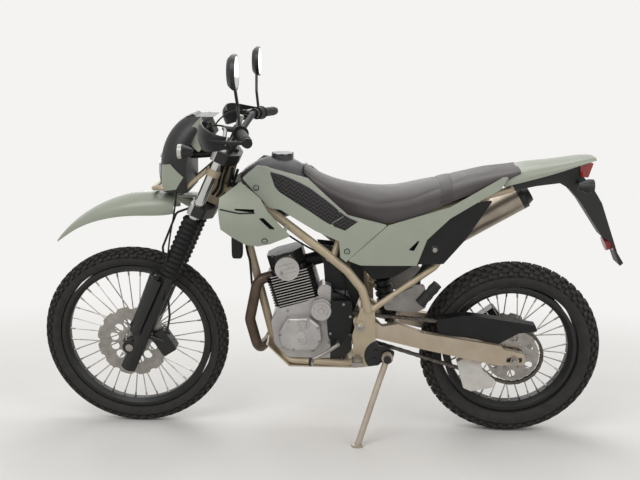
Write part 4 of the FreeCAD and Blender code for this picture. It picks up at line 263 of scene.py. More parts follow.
# The bracket that holds the side stand.
BRACKET_MIDDLE, BRACKET_RADIUS, BRACKET_FACE = (214.0, -150.0, 336.0), 62.0, 121.8
STAND_BLOCK = merged("MULTIPLY", [near(BRACKET_MIDDLE, BRACKET_RADIUS), beyond(LEFT, BRACKET_FACE)])
# The round reflector behind the plate bracket.
REFLECTOR_MIDDLE, REFLECTOR_RADIUS = (1004.0, 0.0, 731.0), 33.0
REFLECTOR = near(REFLECTOR_MIDDLE, REFLECTOR_RADIUS)
# The rubber over the shift lever's toe peg.
TOE_FRONT = 30.0
TOE_RUBBER = beyond(AHEAD, TOE_FRONT)
# The bracket that carries a passenger peg: all that lies outside the folded peg's round bar.
PEG_FOOT = np.array([343.7, 0.0, 531.8])
PEG_WAY = np.array([0.616, 0.0, 0.788])
PEG_SIDEWAYS = np.array([0.788, 0.0, -0.616])
PEG_RADIUS, PEG_END = 19.5, 1.0
PEG_BRACKET = merged("MAXIMUM", [
    beyond(PEG_SIDEWAYS, PEG_SIDEWAYS @ PEG_FOOT + PEG_RADIUS),
    beyond(-PEG_SIDEWAYS, PEG_RADIUS - PEG_SIDEWAYS @ PEG_FOOT),
    beyond(-PEG_WAY, PEG_END - PEG_WAY @ PEG_FOOT),
])
# The flat round glass at the back of each mirror, inside its black rim.
MIRROR_OUT, MIRROR_UP, GLASS_RADIUS = 312.0, 1322.0, 47.0
GLASS_DISCS = [near((0.0, y, MIRROR_UP), GLASS_RADIUS, (0, 1, 1)) for y in (-MIRROR_OUT, MIRROR_OUT)]
MIRROR_GLASS = merged("MULTIPLY", [facing_back, merged("MAXIMUM", GLASS_DISCS)])

SILVER = ("#A8A5A3", "#BCB9B6", 0.55, 0.32)
BRIGHT = ("#A9A7A3", "#BDBAB5", 0.9, 0.26)
SATIN_BLACK = ("#0D0D0D", "#151514", 0.1, 0.36)

# Moulded and painted ABS: an even soft sage with a clear satin skin.
GREEN = plain(
    "green_painted_abs", "#8D9385", "#949A8C", 0.0, 0.36, 1.2, 0.02, 140.0, Coat_Weight=0.3, Coat_Roughness=0.16
)
# Powder coated steel tube: a warm beige with a fine orange peel; its stand bracket is black.
FRAME_COAT = zoned(
    "beige_powder_coat", ("#A5977F", "#B0A28B", 0.25, 0.36), SATIN_BLACK, STAND_BLOCK, 1.6, 0.03
)
BEIGE = plain("beige_coated_tube", "#A5977F", "#B0A28B", 0.25, 0.40, 1.6, 0.03, 120.0)
# Satin anodised aluminium: pale warm metal, even, low sheen.
ARM_ALLOY = plain("anodised_aluminium", "#AB9D89", "#B8AB9A", 0.7, 0.38, 0.8, 0.01, 80.0)
# Moulded black polypropylene: matt, finely grained.
BLACK_PLASTIC = plain(
    "black_polypropylene", "#0B0B0C", "#131314", 0.0, 0.44, 1.0, 0.06, 50.0, Specular_IOR_Level=0.3
)
# The headlight's black mask, with the pale lenses of the signals it carries.
MASK_PLASTIC = zoned(
    "black_mask_plastic", ("#0B0B0C", "#131314", 0.0, 0.38), ("#B4B2AD", "#C9C7C2", 0.1, 0.16), SIGNAL_LENS, 1.2, 0.04
)
# Painted black steel and castings: smooth satin.
BLACK_METAL = plain("black_painted_metal", "#0D0D0D", "#141414", 0.1, 0.34, 2.0, 0.03, 60.0)
# Black enamelled fins with rims machined back to bright aluminium.
FINNED = zoned("black_enamelled_casting", SATIN_BLACK, BRIGHT, FIN_RIMS, 1.6, 0.05)
HEAD_METAL = zoned("black_enamelled_head", SATIN_BLACK, SILVER, BRIGHT_HEAD, 1.6, 0.05)
# Sand cast aluminium with a silver lacquer: pale, slightly grainy.
CAST_ALLOY = plain("cast_aluminium", "#A3A09F", "#B7B4B2", 0.5, 0.38, 1.3, 0.08, 40.0)
# The engine's cases: the same casting, black about the sprocket.
CASE_ALLOY = zoned("cast_engine_case", ("#A3A09F", "#B7B4B2", 0.5, 0.32), SATIN_BLACK, DARK_CASE, 1.3, 0.08)
# Black painted fork clamps with a bare cast front.
CLAMP_METAL = zoned("cast_fork_clamp", SATIN_BLACK, SILVER, CAST_FRONT, 1.3, 0.05)
# Turned and plated steel.
STEEL = plain("plated_steel", "#8C8984", "#A7A39C", 0.9, 0.30, 1.0, 0.02, 25.0)
# Painted steel stand leg: light silver beige.
LEG_SILVER = plain("silver_painted_steel", "#A89C8F", "#B6AB9F", 0.5, 0.36, 1.4, 0.03, 60.0)
# Hard chromed inner tubes over black painted lowers.
FORK_METAL = zoned("chromed_fork_tube", SATIN_BLACK, ("#B5B5B3", "#C8C8C6", 1.0, 0.08), TUBES, 2.0, 0.01)
# Black anodised rims with bright steel spokes and a silver hub.
FRONT_WHEEL = zoned("black_anodised_rim_front", SATIN_BLACK, BRIGHT, FRONT_SPOKES, 1.0, 0.01)
REAR_WHEEL = zoned("black_anodised_rim_rear", SATIN_BLACK, BRIGHT, REAR_SPOKES, 1.0, 0.01)
# Moulded rubber: dull, slightly dusty black.
RUBBER = plain("moulded_rubber", "#0A0A0A", "#141313", 0.0, 0.6, 0.9, 0.08, 20.0, Specular_IOR_Level=0.25)
# Tyre rubber: dull black with brownish dust in places.
TYRE_RUBBER = plain("tyre_rubber", "#161514", "#282624", 0.0, 0.76, 1.5, 0.15, 30.0)
# Brushed stainless can with a black end cap.
CAN_STEEL = zoned("brushed_stainless", ("#8E8578", "#A89E90", 0.9, 0.30), SATIN_BLACK, CAN_END, 0.7, 0.02)
# Stainless header, straw coloured and brown where it is hottest.
HEADER_STEEL = zoned(
    "heat_browned_stainless", ("#9A8D78", "#B0A289", 0.85, 0.28), ("#4A3D33", "#5D4F43", 0.6, 0.38), SCORCHED, 1.0, 0.02
)
# Grey tank cover: moulded satin plastic with a slight purple cast.
TANK_PLASTIC = plain("grey_moulded_plastic", "#363436", "#3F3C3F", 0.0, 0.38, 1.4, 0.05, 70.0)
# Red moulded acrylic lens.
RED_LENS = plain("red_acrylic_lens", "#7A1712", "#95201A", 0.0, 0.14, 4.0, 0.1, 30.0, Coat_Weight=0.6)
# Black plate carrier with a red reflector at its end.
CARRIER = zoned(
    "black_moulded_carrier", ("#0C0C0C", "#141414", 0.0, 0.42), ("#6B1A15", "#8A221B", 0.0, 0.16), REFLECTOR, 1.0, 0.05
)
# Clear acrylic over a reflector.
CLEAR_LENS = plain("clear_acrylic_lens", "#8E928F", "#B9BDBA", 0.3, 0.10, 6.0, 0.15, 30.0, Coat_Weight=0.8)
# Milky nylon guide block.
NYLON = plain("milky_nylon", "#B9B4AE", "#CBC7C1", 0.0, 0.38, 2.0, 0.04, 30.0, Subsurface_Weight=0.15)
# Steel lever with a rubber toe.
SHIFT_STEEL = zoned(
    "plated_lever", ("#8C8984", "#A7A39C", 0.9, 0.28), ("#161616", "#201F1E", 0.0, 0.6), TOE_RUBBER, 1.0, 0.03
)
# Rubber passenger pegs on silver brackets.
PEG_RUBBER = zoned(
    "ribbed_peg_rubber", ("#0C0C0C", "#151414", 0.0, 0.6), ("#74716E", "#8A8783", 0.7, 0.32), PEG_BRACKET, 1.0, 0.03
)
# Black moulded mirror shells with silvered glass.
MIRROR_SHELL = zoned(
    "black_mirror_shell", ("#0C0C0C", "#131313", 0.0, 0.30), ("#96999A", "#A0A3A4", 1.0, 0.0), MIRROR_GLASS, 2.0, 0.004
)

FINISHES = (
    (GREEN, "tail_fender front_fender tank_panels shrouds side_panels headlight_panel"),
    (STEEL, "rear_axle chain brake_pedal front_axle front_disc rear_disc rear_sprocket footpegs"),
    (BLACK_METAL, "shock rear_caliper front_caliper handlebar hand_levers"),
    (BLACK_PLASTIC, "chain_guard sprocket_cover airbox handguards"),
    (ARM_ALLOY, "swingarm bash_plate"), (TYRE_RUBBER, "front_tyre rear_tyre"), (RUBBER, "gaiters controls"),
    (FRAME_COAT, "frame"), (BEIGE, "fork_loop"), (NYLON, "chain_guide"), (CASE_ALLOY, "crankcase"),
    (FINNED, "cylinder"), (HEAD_METAL, "cylinder_head"), (CAST_ALLOY, "generator_cover"),
    (HEADER_STEEL, "exhaust_pipe"), (CAN_STEEL, "muffler"), (TANK_PLASTIC, "fuel_tank"), (RED_LENS, "tail_light"),
    (CARRIER, "plate_bracket"), (SHIFT_STEEL, "shift_lever"), (CLAMP_METAL, "fork_clamps"),
    (MASK_PLASTIC, "headlight_shell"), (LEG_SILVER, "side_stand"), (FRONT_WHEEL, "front_wheel"),
    (REAR_WHEEL, "rear_wheel"), (PEG_RUBBER, "passenger_pegs"), (FORK_METAL, "fork_legs"),
    (MIRROR_SHELL, "mirrors"), (CLEAR_LENS, "headlight_lens"),
)
FINISH = {node: material for material, nodes in FINISHES for node in nodes.split()}
CHEVRON = 0.013


def chevron_rubber():
    """Grippy pad skin: moulded plastic with chevrons 13 mm apart, their ridges a little paler."""
    material, tree, shader, place = surface("chevron_moulded_pad", Roughness=0.5, Specular_IOR_Level=0.3)
    axes = add(tree, "ShaderNodeSeparateXYZ", {0: upright(tree, place)}).outputs
    fold = add(tree, "ShaderNodeMath", {"operation": "PINGPONG", 0: axes[0], 1: CHEVRON}).outputs[0]
    climb = add(tree, "ShaderNodeMath", {"operation": "ADD", 0: fold, 1: axes[2]}).outputs[0]
    turn = add(tree, "ShaderNodeMath", {"operation": "MULTIPLY", 0: climb, 1: 2 * math.pi / CHEVRON}).outputs[0]
    wave = add(tree, "ShaderNodeMath", {"operation": "SINE", 0: turn}).outputs[0]
    mixed = {"operation": "MULTIPLY_ADD", 0: mottle(tree, place, 30.0), 1: 0.8, 2: wave}
    ridges = add(tree, "ShaderNodeMath", mixed).outputs[0]
    shades = tones(tree, ridges, [(0.2, "#161516"), (1.0, "#2F2C2C")])
    tree.links.new(shades, shader.inputs["Base Color"])
    dent(tree, shader, wave, 1.0)
    return material


def saddle_vinyl(name, dark, light):
    """Stretched vinyl over foam: fine pebbled grain 1.5 mm wide, worn a little smoother in patches."""
    material, tree, shader, place = surface(name, Sheen_Weight=0.15, Sheen_Roughness=0.4)
    shaded(tree, shader, place, 110.0, dark, light, 4.0)
    worn(tree, shader, place, 70.0, 0.44, 0.62)
    cells = add(tree, "ShaderNodeTexVoronoi", {"Scale": 1000.0 / 1.5, "Vector": place}).outputs["Distance"]
    dent(tree, shader, cells, 0.12)
    return material


PAD_SKIN = chevron_rubber()
VINYL = saddle_vinyl("saddle_vinyl", "#3D3838", "#484243")
STRAP_VINYL = saddle_vinyl("strap_vinyl", "#2F2B2C", "#383334")
# Grey polyester thread.
THREAD = plain("grey_thread", "#6E696A", "#7E7879", 0.0, 0.7, 0.6, 0.1, 10.0)
# Light grey edge trim on the pads.
EDGE_TRIM = plain("grey_edge_trim", "#77777A", "#858588", 0.0, 0.45, 2.0, 0.02, 30.0)
# Red anodised fitting.
RED_METAL = plain("red_anodised_fitting", "#7C1F1C", "#8F2A25", 0.8, 0.3, 1.0, 0.01, 10.0)

for name, item in NODES.items():
    for entry in item.material_slots:
        entry.material = FINISH.get(name, VINYL)

# Shapes


def mesh_piece(name, points, faces, material, body, angle=35.0, leaned=False):
    """A named piece of the given points and faces, riding on a body; its points are upright or leaned."""
    mesh = bpy.data.meshes.new(name)
    places = np.asarray(points) if leaned else stand(points)
    mesh.from_pydata(places.tolist(), [], [list(face) for face in faces])
    mesh.validate()
    mesh.materials.append(material)
    mesh.shade_smooth()
    mesh.set_sharp_from_angle(angle=math.radians(angle))
    item = bpy.data.objects.new(name, mesh)
    bpy.context.scene.collection.objects.link(item)
    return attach(item, body)


def grid_faces(rows, columns, close_rows, close_columns, start=0):
    """Four-sided faces of a rows by columns grid of points, closed round either way if asked."""
    r = np.arange(rows if close_rows else rows - 1)
    c = np.arange(columns if close_columns else columns - 1)
    r, c = [a.ravel() for a in np.meshgrid(r, c, indexing="ij")]
    up, right = (r + 1) % rows, (c + 1) % columns
    return start + np.stack([r * columns + c, up * columns + c, up * columns + right, r * columns + right], 1)


def sleeve_faces(rows, columns, clockwise=False):
    """Outward faces of rings carried along a path, both ends shut; seen from its far end the rings run
    against the clock, or with it."""
    faces = grid_faces(rows, columns, False, True).tolist()
    faces += [list(range(columns)), list(range((rows - 1) * columns, rows * columns))[::-1]]
    return faces if clockwise else [face[::-1] for face in faces]


def repeated(faces, count, times):
    """The faces of a shape of so many points, for that shape made many times over."""
    return [[corner + i * count for corner in face] for i in range(times) for face in faces]


def joined(parts):
    """One list of points and of faces from several (points, faces)."""
    points, faces, count = [], [], 0
    for own, own_faces in parts:
        own = np.asarray(own, float)
        points.append(own)
        faces += [[corner + count for corner in face] for face in own_faces]
        count += len(own)
    return np.concatenate(points), faces


def unit(vectors):
    """The vectors at length one."""
    return vectors / np.linalg.norm(vectors, axis=-1, keepdims=True)


def round_about(ways, hint, steps):
    """Directions square to each way, evenly round it: cosine times one side plus sine times the other."""
    side = unit(np.cross(ways, hint))
    other = np.cross(ways, side)
    angle = np.arange(steps) * 2 * np.pi / steps
    return side[:, None] * np.cos(angle)[None, :, None] + other[:, None] * np.sin(angle)[None, :, None]


def turned(profile, axle, steps):
    """A closed profile of (radius, y) carried once round the axle's cross line."""
    profile = np.asarray(profile, float)
    angle = np.arange(steps) * 2 * np.pi / steps
    r, y = profile[:, 0], profile[:, 1]
    x = r[None] * np.sin(angle)[:, None]
    z = r[None] * np.cos(angle)[:, None]
    points = np.stack([x, np.broadcast_to(y, x.shape), z], 2) + axle
    return points.reshape(-1, 3), grid_faces(steps, len(profile), True, True)


def studs(middles, ways, profile, steps=16, size=1.0):
    """The same turned head at each middle: rings of (radius, height) about its way, both ends closed."""
    middles, ways = np.asarray(middles, float), unit(np.asarray(ways, float))
    spin = round_about(ways, [0.31, 0.83, 0.46], steps)
    profile = np.asarray(profile, float) * size
    rings = middles[:, None, None] + spin[:, None] * profile[None, :, :1, None]
    rings = rings + ways[:, None, None] * profile[None, :, 1:, None]
    one = sleeve_faces(len(profile), steps)
    return rings.reshape(-1, 3), repeated(one, len(profile) * steps, len(middles))


def rods(starts, ends, radius, sides=8):
    """Straight round bars from each start to each end, closed at both."""
    starts, ends = np.asarray(starts, float), np.asarray(ends, float)
    lengths = np.linalg.norm(ends - starts, axis=1)
    parts = []
    for length in np.unique(lengths.round(1)):
        chosen = lengths.round(1) == length
        profile = [(radius, 0.0), (radius, length)]
        parts.append(studs(starts[chosen], (ends - starts)[chosen], profile, sides))
    return joined(parts)


def spline(points, steps):
    """Points along the first axis of a cubic curve through all the given ones; its slope at each of them
    is half the step from the one before to the one after."""
    p = np.asarray(points, float)
    p = np.concatenate([2 * p[:1] - p[1:2], p, 2 * p[-1:] - p[-2:-1]])
    t = np.linspace(0, 1, steps, endpoint=False).reshape((1, steps) + (1,) * (p.ndim - 1))
    a, b, c, d = p[:-3, None], p[1:-2, None], p[2:-1, None], p[3:, None]
    curve = 0.5 * (2 * b + (c - a) * t + (2 * a - 5 * b + 4 * c - d) * t**2 + (3 * b - a - 3 * c + d) * t**3)
    return np.concatenate([curve.reshape((-1,) + p.shape[1:]), p[-2:-1]])


def hose(points, radius, steps=8, sides=10):
    """A round hose along a smooth path, its ends closed by small domes."""
    path = spline(points, steps)
    along = unit(np.gradient(path, axis=0))
    ends = along[[0, -1]] * radius * 0.5
    path = np.concatenate([path[:1] - ends[:1], path, path[-1:] + ends[1:]])
    ring = round_about(along, [0.21, 0.93, 0.3], sides)
    ring = np.concatenate([ring[:1], ring, ring[-1:]])
    radii = np.concatenate([[radius * 0.25], np.full(len(path) - 2, float(radius)), [radius * 0.25]])
    points = (path[:, None] + ring * radii[:, None, None]).reshape(-1, 3)
    return points, sleeve_faces(len(path), sides)


def block(middle, half, roundness=0.35, rows=12, columns=24):
    """A soft-edged block: a sphere's grid whose sines and cosines are raised to a small power."""
    polar = np.linspace(-np.pi / 2, np.pi / 2, rows + 2)[1:-1]
    round_ = np.arange(columns) * 2 * np.pi / columns
    p, r = np.meshgrid(polar, round_, indexing="ij")

    def flat(wave):
        return np.sign(wave) * np.abs(wave) ** roundness

    shape = np.stack([flat(np.cos(p)) * flat(np.cos(r)), flat(np.cos(p)) * flat(np.sin(r)), flat(np.sin(p))], 2)
    points = (shape * np.asarray(half) + np.asarray(middle)).reshape(-1, 3)
    return points, sleeve_faces(rows, columns)


def touch(node, x, z, side=-1):
    """Where a cross line at x and z first meets a node from one side, and which way its surface faces."""
    start, way = stand([x, side * 420.0, z]), TILT @ [0, -side, 0]
    hit, place, facing, _ = NODES[node].ray_cast(Vector(start), Vector(way))
    if not hit:
        raise ValueError(f"nothing of {node} at {x} {z}")
    return np.array(place), np.array(facing)


SCREW = [(1.0, -0.5), (1.0, 0.35), (0.86, 0.58), (0.52, 0.62), (0.46, 0.2)]
BOLT_WITH_WASHER = [(1.5, -0.3), (1.5, 0.14), (0.95, 0.16), (0.95, 0.8), (0.8, 0.95), (0.45, 0.95), (0.4, 0.6)]
COLLAR = [(1.75, -0.5), (1.75, 0.1), (1.5, 0.34), (1.2, 0.34), (1.1, -0.1)]
PLUG = [(1.0, -0.3), (1.0, 0.3), (0.9, 0.42), (0.62, 0.42), (0.58, 0.18)]


def fasteners(name, body, material, spots, profile, radius_mm):
    """Heads of one kind seated on the surfaces they hold; a spot is a node, x, z and side."""
    seated = [touch(*spot) for spot in spots]
    middles = np.array([place for place, _ in seated])
    ways = np.array([facing for _, facing in seated])
    points, faces = studs(middles, ways, profile, 16, radius_mm / 1000)
    item = mesh_piece(name, points, faces, material, body, 30.0, leaned=True)
    return item


def circle_spots(node, middle, radius, count, side=-1, turn=0.0):
    """Evenly spaced spots on a circle about a cross line."""
    angle = np.arange(count) * 2 * np.pi / count + turn
    return [(node, middle[0] + radius * math.cos(a), middle[1] + radius * math.sin(a), side) for a in angle]


# Tyres

SECTION = np.array([
    (0.0, 0.0), (0.03, 0.36), (0.12, 0.68), (0.27, 0.92), (0.45, 1.0), (0.66, 0.95), (0.84, 0.74),
])


def section_curve(radius, half, bead, drop, steps):
    """The tyre's cross section from bead to bead as (radius, y), its skin drop millimetres in."""
    height = radius - bead
    r = radius - SECTION[:, 0] * height
    y = SECTION[:, 1] * half
    flank = np.stack([r, y, 0 * r], 1)
    whole = np.concatenate([flank[::-1] * [1, -1, 1], flank[1:]])
    curve = spline(whole, steps)
    along = unit(np.gradient(curve, axis=0))
    normal = np.stack([along[:, 1], -along[:, 0]], 1)
    return curve[:, :2] - normal * np.reshape(drop, (-1, 1))


def knob_blocks(axle, radius, half, bead, rows, pitches, depth):
    """Blocks standing on the tread: each row has a place across, a width, a length and an offset."""
    curve = section_curve(radius, half, bead, 0.0, 12)
    along = unit(np.gradient(curve, axis=0))
    reach = np.concatenate([[0], np.cumsum(np.linalg.norm(np.diff(curve, axis=0), axis=1))])
    reach -= reach[-1] / 2
    parts = []
    turn = np.arange(pitches) * 2 * np.pi / pitches
    corner = np.array([(-1, -1), (-1, 1), (1, 1), (1, -1)])
    for across, wide, long, offset, skew in rows:
        for side in ((1, -1) if across else (1,)):
            layers = []
            for level, grow in ((-depth - 1.0, 1.08), (-1.2, 1.0), (0.0, 0.84)):
                s = side * across + corner[:, 1] * wide / 2 * grow
                arc = corner[:, 0] * long / 2 * grow + skew * corner[:, 1] * side
                r = np.interp(s, reach, curve[:, 0])
                y = np.interp(s, reach, curve[:, 1])
                nr = np.interp(side * across, reach, along[:, 1])
                ny = -np.interp(side * across, reach, along[:, 0])
                r = r + nr * level
                y = y + ny * level
                angle = turn[:, None] + (offset * (2 * np.pi / pitches)) + (arc / radius)[None]
                layers.append(np.stack([r * np.sin(angle), np.broadcast_to(y, angle.shape), r * np.cos(angle)], 2))
            points = np.stack(layers, 1).reshape(-1, 3) + axle
            one = grid_faces(3, 4, False, True).tolist() + [[11, 10, 9, 8]]
            faces = (np.arange(pitches)[:, None, None] * 12 + np.array(one)[None]).reshape(-1, 4)
            parts.append((points, faces))
    return parts


def tyre(name, node, body, axle, radius, width, bead, rows, pitches, depth):
    """A knobbly tyre: a turned carcass with the blocks of its tread."""
    half = width / 2
    curve = section_curve(radius, half, bead, 0.0, 12)
    deep = np.where(curve[:, 0] > radius - 0.45 * (radius - bead), depth, 1.0)
    skin = section_curve(radius, half, bead, deep, 12)
    skin[:, 0] = np.maximum(skin[:, 0], bead + 0.5)
    inner = np.linspace(skin[-1], skin[0], 5)[1:-1]
    profile = np.concatenate([skin, inner])
    parts = [turned(profile, axle, 144)] + knob_blocks(axle, radius, half, bead, rows, pitches, depth)
    points, faces = joined(parts)
    item = mesh_piece(name, points, faces, TYRE_RUBBER, body, 28.0)
    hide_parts(node)
    return item


tyre(
    "front_tyre_knobs", "front_tyre", "front_wheel", FRONT_AXLE, 340.0, 76.0, 268.0,
    [(0.0, 15.0, 17.0, 0.0, 0.0), (15.0, 11.0, 15.0, 0.5, 1.5),
     (29.0, 12.0, 19.0, 0.0, -2.0), (43.0, 11.0, 15.0, 0.5, 0.0)], 62, 8.0,
)
tyre(
    "rear_tyre_knobs", "rear_tyre", "rear_wheel", REAR_AXLE, 325.0, 106.0, 231.0,
    [(10.0, 15.0, 20.0, 0.0, 1.0), (28.0, 15.0, 20.0, 0.5, 2.0),
     (45.0, 14.0, 22.0, 0.0, -2.0), (61.0, 13.0, 17.0, 0.5, 0.0)], 52, 9.0,
)


# Wheels and chain


SPOKE_PLACES, SPOKE_LEAN = 9, 0.75
NIPPLE, NIPPLE_LENGTH = [(2.9, 0.0), (3.4, 2.0), (3.4, 17.0), (4.6, 20.0)], 19


def nipples(name, body, axle, flange, half, rim_inner):
    """The spokes' nipples: short thick sleeves on the last tenth of each spoke."""
    step = 2 * np.pi / SPOKE_PLACES
    side, i, lean = [a.ravel() for a in np.meshgrid([-1, 1], np.arange(SPOKE_PLACES), [-1, 1], indexing="ij")]
    at_hub = (i + side / 8) * step
    at_rim = at_hub + lean * step * SPOKE_LEAN
    start = np.stack([np.sin(at_hub) * flange, side * half, np.cos(at_hub) * flange], 1) + axle
    end = np.stack([np.sin(at_rim) * rim_inner, 0 * at_rim, np.cos(at_rim) * rim_inner], 1) + axle
    way = unit(end - start)
    return mesh_piece(name, *studs(end - way * NIPPLE_LENGTH, way, NIPPLE, 8), STEEL, body, 40.0)


nipples("front_nipples", "front_wheel", FRONT_AXLE, 28.6, 33.0, 251.0)
nipples("rear_nipples", "rear_wheel", REAR_AXLE, 37.6, 41.0, 212.0)


PITCH = 15.875
SMALL_SPROCKET, LARGE_SPROCKET, SPROCKET_RADII = np.array([85.0, 440.0]), REAR_AXLE[::2], (38.0, 104.0)
CHAIN_Y, PIN_START, ROLLER_START = -80.0, -88.0, 4.5
LINK_HALF, LINK_WAIST, LINK_SWELL, LINK_CORNERS = 13.6, 5.4, 1.2, 20
PIN, ROLLER = [(2.3, 0.0), (2.6, 0.7), (2.6, 15.3), (2.3, 16.0)], [(4.4, 0.0), (4.4, 7.0)]


def chain_path():
    """Evenly spaced pins of the chain: two arcs about the sprockets and the straight runs between."""
    small, large, radii = SMALL_SPROCKET, LARGE_SPROCKET, SPROCKET_RADII
    gap = large - small
    slope = math.atan2(gap[1], gap[0])
    splay = math.acos((radii[0] - radii[1]) / math.hypot(*gap))
    top, low = slope + splay, slope - splay
    far = np.linspace(top, low, 60)
    back = np.linspace(low, top - 2 * np.pi, 40)
    rear = large + radii[1] * np.stack([np.cos(far), np.sin(far)], 1)
    front = small + radii[0] * np.stack([np.cos(back), np.sin(back)], 1)
    loop = np.concatenate([rear, front, rear[:1]])
    reach = np.concatenate([[0], np.cumsum(np.linalg.norm(np.diff(loop, axis=0), axis=1))])
    count = 2 * round(reach[-1] / PITCH / 2)
    at = np.arange(count) * reach[-1] / count
    return np.stack([np.interp(at, reach, loop[:, k]) for k in (0, 1)], 1)


def chain_links():
    """A roller chain: waisted side plates from pin to pin, in and out by turns, with their pins."""
    pins = chain_path()
    after = np.roll(pins, -1, 0)
    along = unit(after - pins)
    across = np.stack([-along[:, 1], along[:, 0]], 1)
    turn = np.linspace(0, 2 * np.pi, LINK_CORNERS, endpoint=False)
    waist = LINK_WAIST + LINK_SWELL * np.abs(np.cos(turn))
    shape = np.stack([np.cos(turn) * LINK_HALF, np.sin(turn) * waist], 1)
    flat = (pins + after)[:, None] / 2 + shape[None, :, :1] * along[:, None] + shape[None, :, 1:] * across[:, None]
    parts = []
    one = sleeve_faces(2, LINK_CORNERS, clockwise=True)
    for side in (-1, 1):
        offset = np.where(np.arange(len(pins)) % 2, 4.3, 6.2) * side
        layers = []
        for face_y in (-0.8, 0.8):
            y = np.broadcast_to((CHAIN_Y + offset + face_y)[:, None, None], flat[..., :1].shape)
            layers.append(np.concatenate([flat[..., :1], y, flat[..., 1:]], 2))
        parts.append((np.stack(layers, 1).reshape(-1, 3), repeated(one, 2 * LINK_CORNERS, len(pins))))
    starts = np.stack([pins[:, 0], np.full(len(pins), PIN_START), pins[:, 1]], 1)
    ways = np.tile([0.0, 1.0, 0.0], (len(pins), 1))
    parts.append(studs(starts, ways, PIN, 8))
    parts.append(studs(starts + [0, ROLLER_START, 0], ways, ROLLER, 10))
    points, faces = joined(parts)
    item = mesh_piece("chain_links", points, faces, CHAIN_STEEL, "chassis", 30.0)
    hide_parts("chain")
    return item


# Oiled chain steel: dark, half bright.
CHAIN_STEEL = plain("oiled_chain_steel", "#4F4A45", "#6B655E", 0.85, 0.36, 1.0, 0.03, 12.0)
chain_links()

# Saddle and tank pads

SADDLE_ROWS = np.array([
    (-62.0, 58.0, 968.0, 992.0), (-15.0, 78.0, 908.0, 962.0), (60.0, 92.0, 850.0, 936.0),
    (150.0, 120.0, 822.0, 920.0), (240.0, 132.0, 820.0, 918.0), (330.0, 132.0, 845.0, 934.0),
    (430.0, 122.0, 890.0, 955.0), (560.0, 106.0, 940.0, 986.0), (664.0, 84.0, 984.0, 1000.0),
])
SADDLE_SECTION = np.array([(1.0, 0.0), (1.0, 0.325), (0.92, 0.65), (0.55, 0.9125), (0.0, 1.0)])
SEAM_X = np.array([-62.0, -25.0, 28.0, 89.0, 191.0, 293.0, 399.0, 491.0, 588.0, 664.0])
SEAM_Z = np.array([978.0, 951.0, 920.0, 897.0, 879.0, 895.0, 934.0, 962.0, 984.0, 994.0])


STRAP_CHANNELS, STRAP_EDGES, STRAP_LOW = (392.0, 446.0), (398.0, 440.0), 884.0
STITCH_STEP, STITCH_LENGTH, STITCH_UP = 6.0, 3.6, 5.0


def saddle_grid():
    """The saddle's skin: spline rows along it, each a spline from one lower edge over to the other."""
    x, half, low, high = SADDLE_ROWS.T[:, :, None]
    out, up = SADDLE_SECTION.T[:, None]
    right = np.stack([np.broadcast_to(x, (9, 5)), half * out, low + up * (high - low)], 2)
    left = right * [1, -1, 1]
    loop = np.concatenate([left, right[:, -2::-1]], 1)
    rows = spline(loop, 12)
    return spline(rows.transpose(1, 0, 2), 7).transpose(1, 0, 2)


def outward(grid):
    """Which way each point of a grid's surface faces, from the slopes along and across it."""
    return unit(np.cross(np.gradient(grid, axis=0), np.gradient(grid, axis=1)))


def saddle():
    """The saddle: its skin padded out a little, pulled in along the seams, its underside closed."""
    grid = saddle_grid()
    facing = outward(grid)
    x, y, z = grid[..., 0], grid[..., 1], grid[..., 2]
    seam = np.interp(x, SEAM_X, SEAM_Z)
    flank = np.clip(np.abs(facing[..., 1]) * 2, 0, 1)
    pull = -2.4 * np.exp(-((z - seam) / 3.0) ** 2) * flank
    swell = 1.6 * np.exp(-((z - seam - 13.0) / 11.0) ** 2) + 1.2 * np.exp(-((z - seam + 14.0) / 12.0) ** 2)
    front, back = STRAP_CHANNELS
    cross = -1.8 * np.exp(-((x - front) / 3.5) ** 2) - 1.8 * np.exp(-((x - back) / 3.5) ** 2)
    folds = 0.5 * np.sin(x / 17.0 + 0.4 * np.sin(z / 23.0)) * np.exp(-((x - 419.0) / 70.0) ** 2)
    lower = np.clip((z - z.min(axis=1, keepdims=True)) / 12.0, 0, 1)
    skin = grid + facing * ((pull + swell * flank + cross + folds) * lower)[..., None]
    rows = len(skin)
    base = np.linspace(skin[:, -1], skin[:, 0], 12)[1:-1].transpose(1, 0, 2)
    whole = np.concatenate([skin, base], 1)
    faces = sleeve_faces(rows, whole.shape[1], clockwise=True)
    item = mesh_piece("seat_cushion", whole.reshape(-1, 3), faces, VINYL, "chassis", 60.0)
    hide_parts("seat")
    return item


def saddle_at(x):
    """The saddle's section at each given x, read between the rows of its grid, and its facing."""
    grid = saddle_grid()
    facing = outward(grid)
    row = np.interp(x, grid[:, 0, 0], np.arange(len(grid)))
    near_row = np.minimum(row.astype(int), len(grid) - 2)
    share = (row - near_row)[:, None, None]
    blend = [a[near_row] * (1 - share) + a[near_row + 1] * share for a in (grid, facing)]
    return blend[0], unit(blend[1])


def strap():
    """The flat passenger strap across the saddle: its section stood off by the strap's thickness."""
    grid, facing = saddle_at(np.linspace(*STRAP_EDGES, 9))
    keep = grid[0, :, 2] > STRAP_LOW
    grid, facing = grid[:, keep], facing[:, keep]
    edge = np.sin(np.linspace(0, np.pi, 9))[:, None, None] ** 0.3
    outer = grid + facing * (0.6 + 2.2 * edge)
    inner = grid - facing * 1.5
    loop = np.concatenate([outer, inner[::-1]], 0)
    count = loop.shape[1]
    faces = grid_faces(len(loop), count, True, False).tolist()
    faces.append([i * count for i in range(len(loop))][::-1])
    faces.append([i * count + count - 1 for i in range(len(loop))])
    item = mesh_piece("seat_strap", loop.reshape(-1, 3), faces, STRAP_VINYL, "chassis", 50.0)
    return item


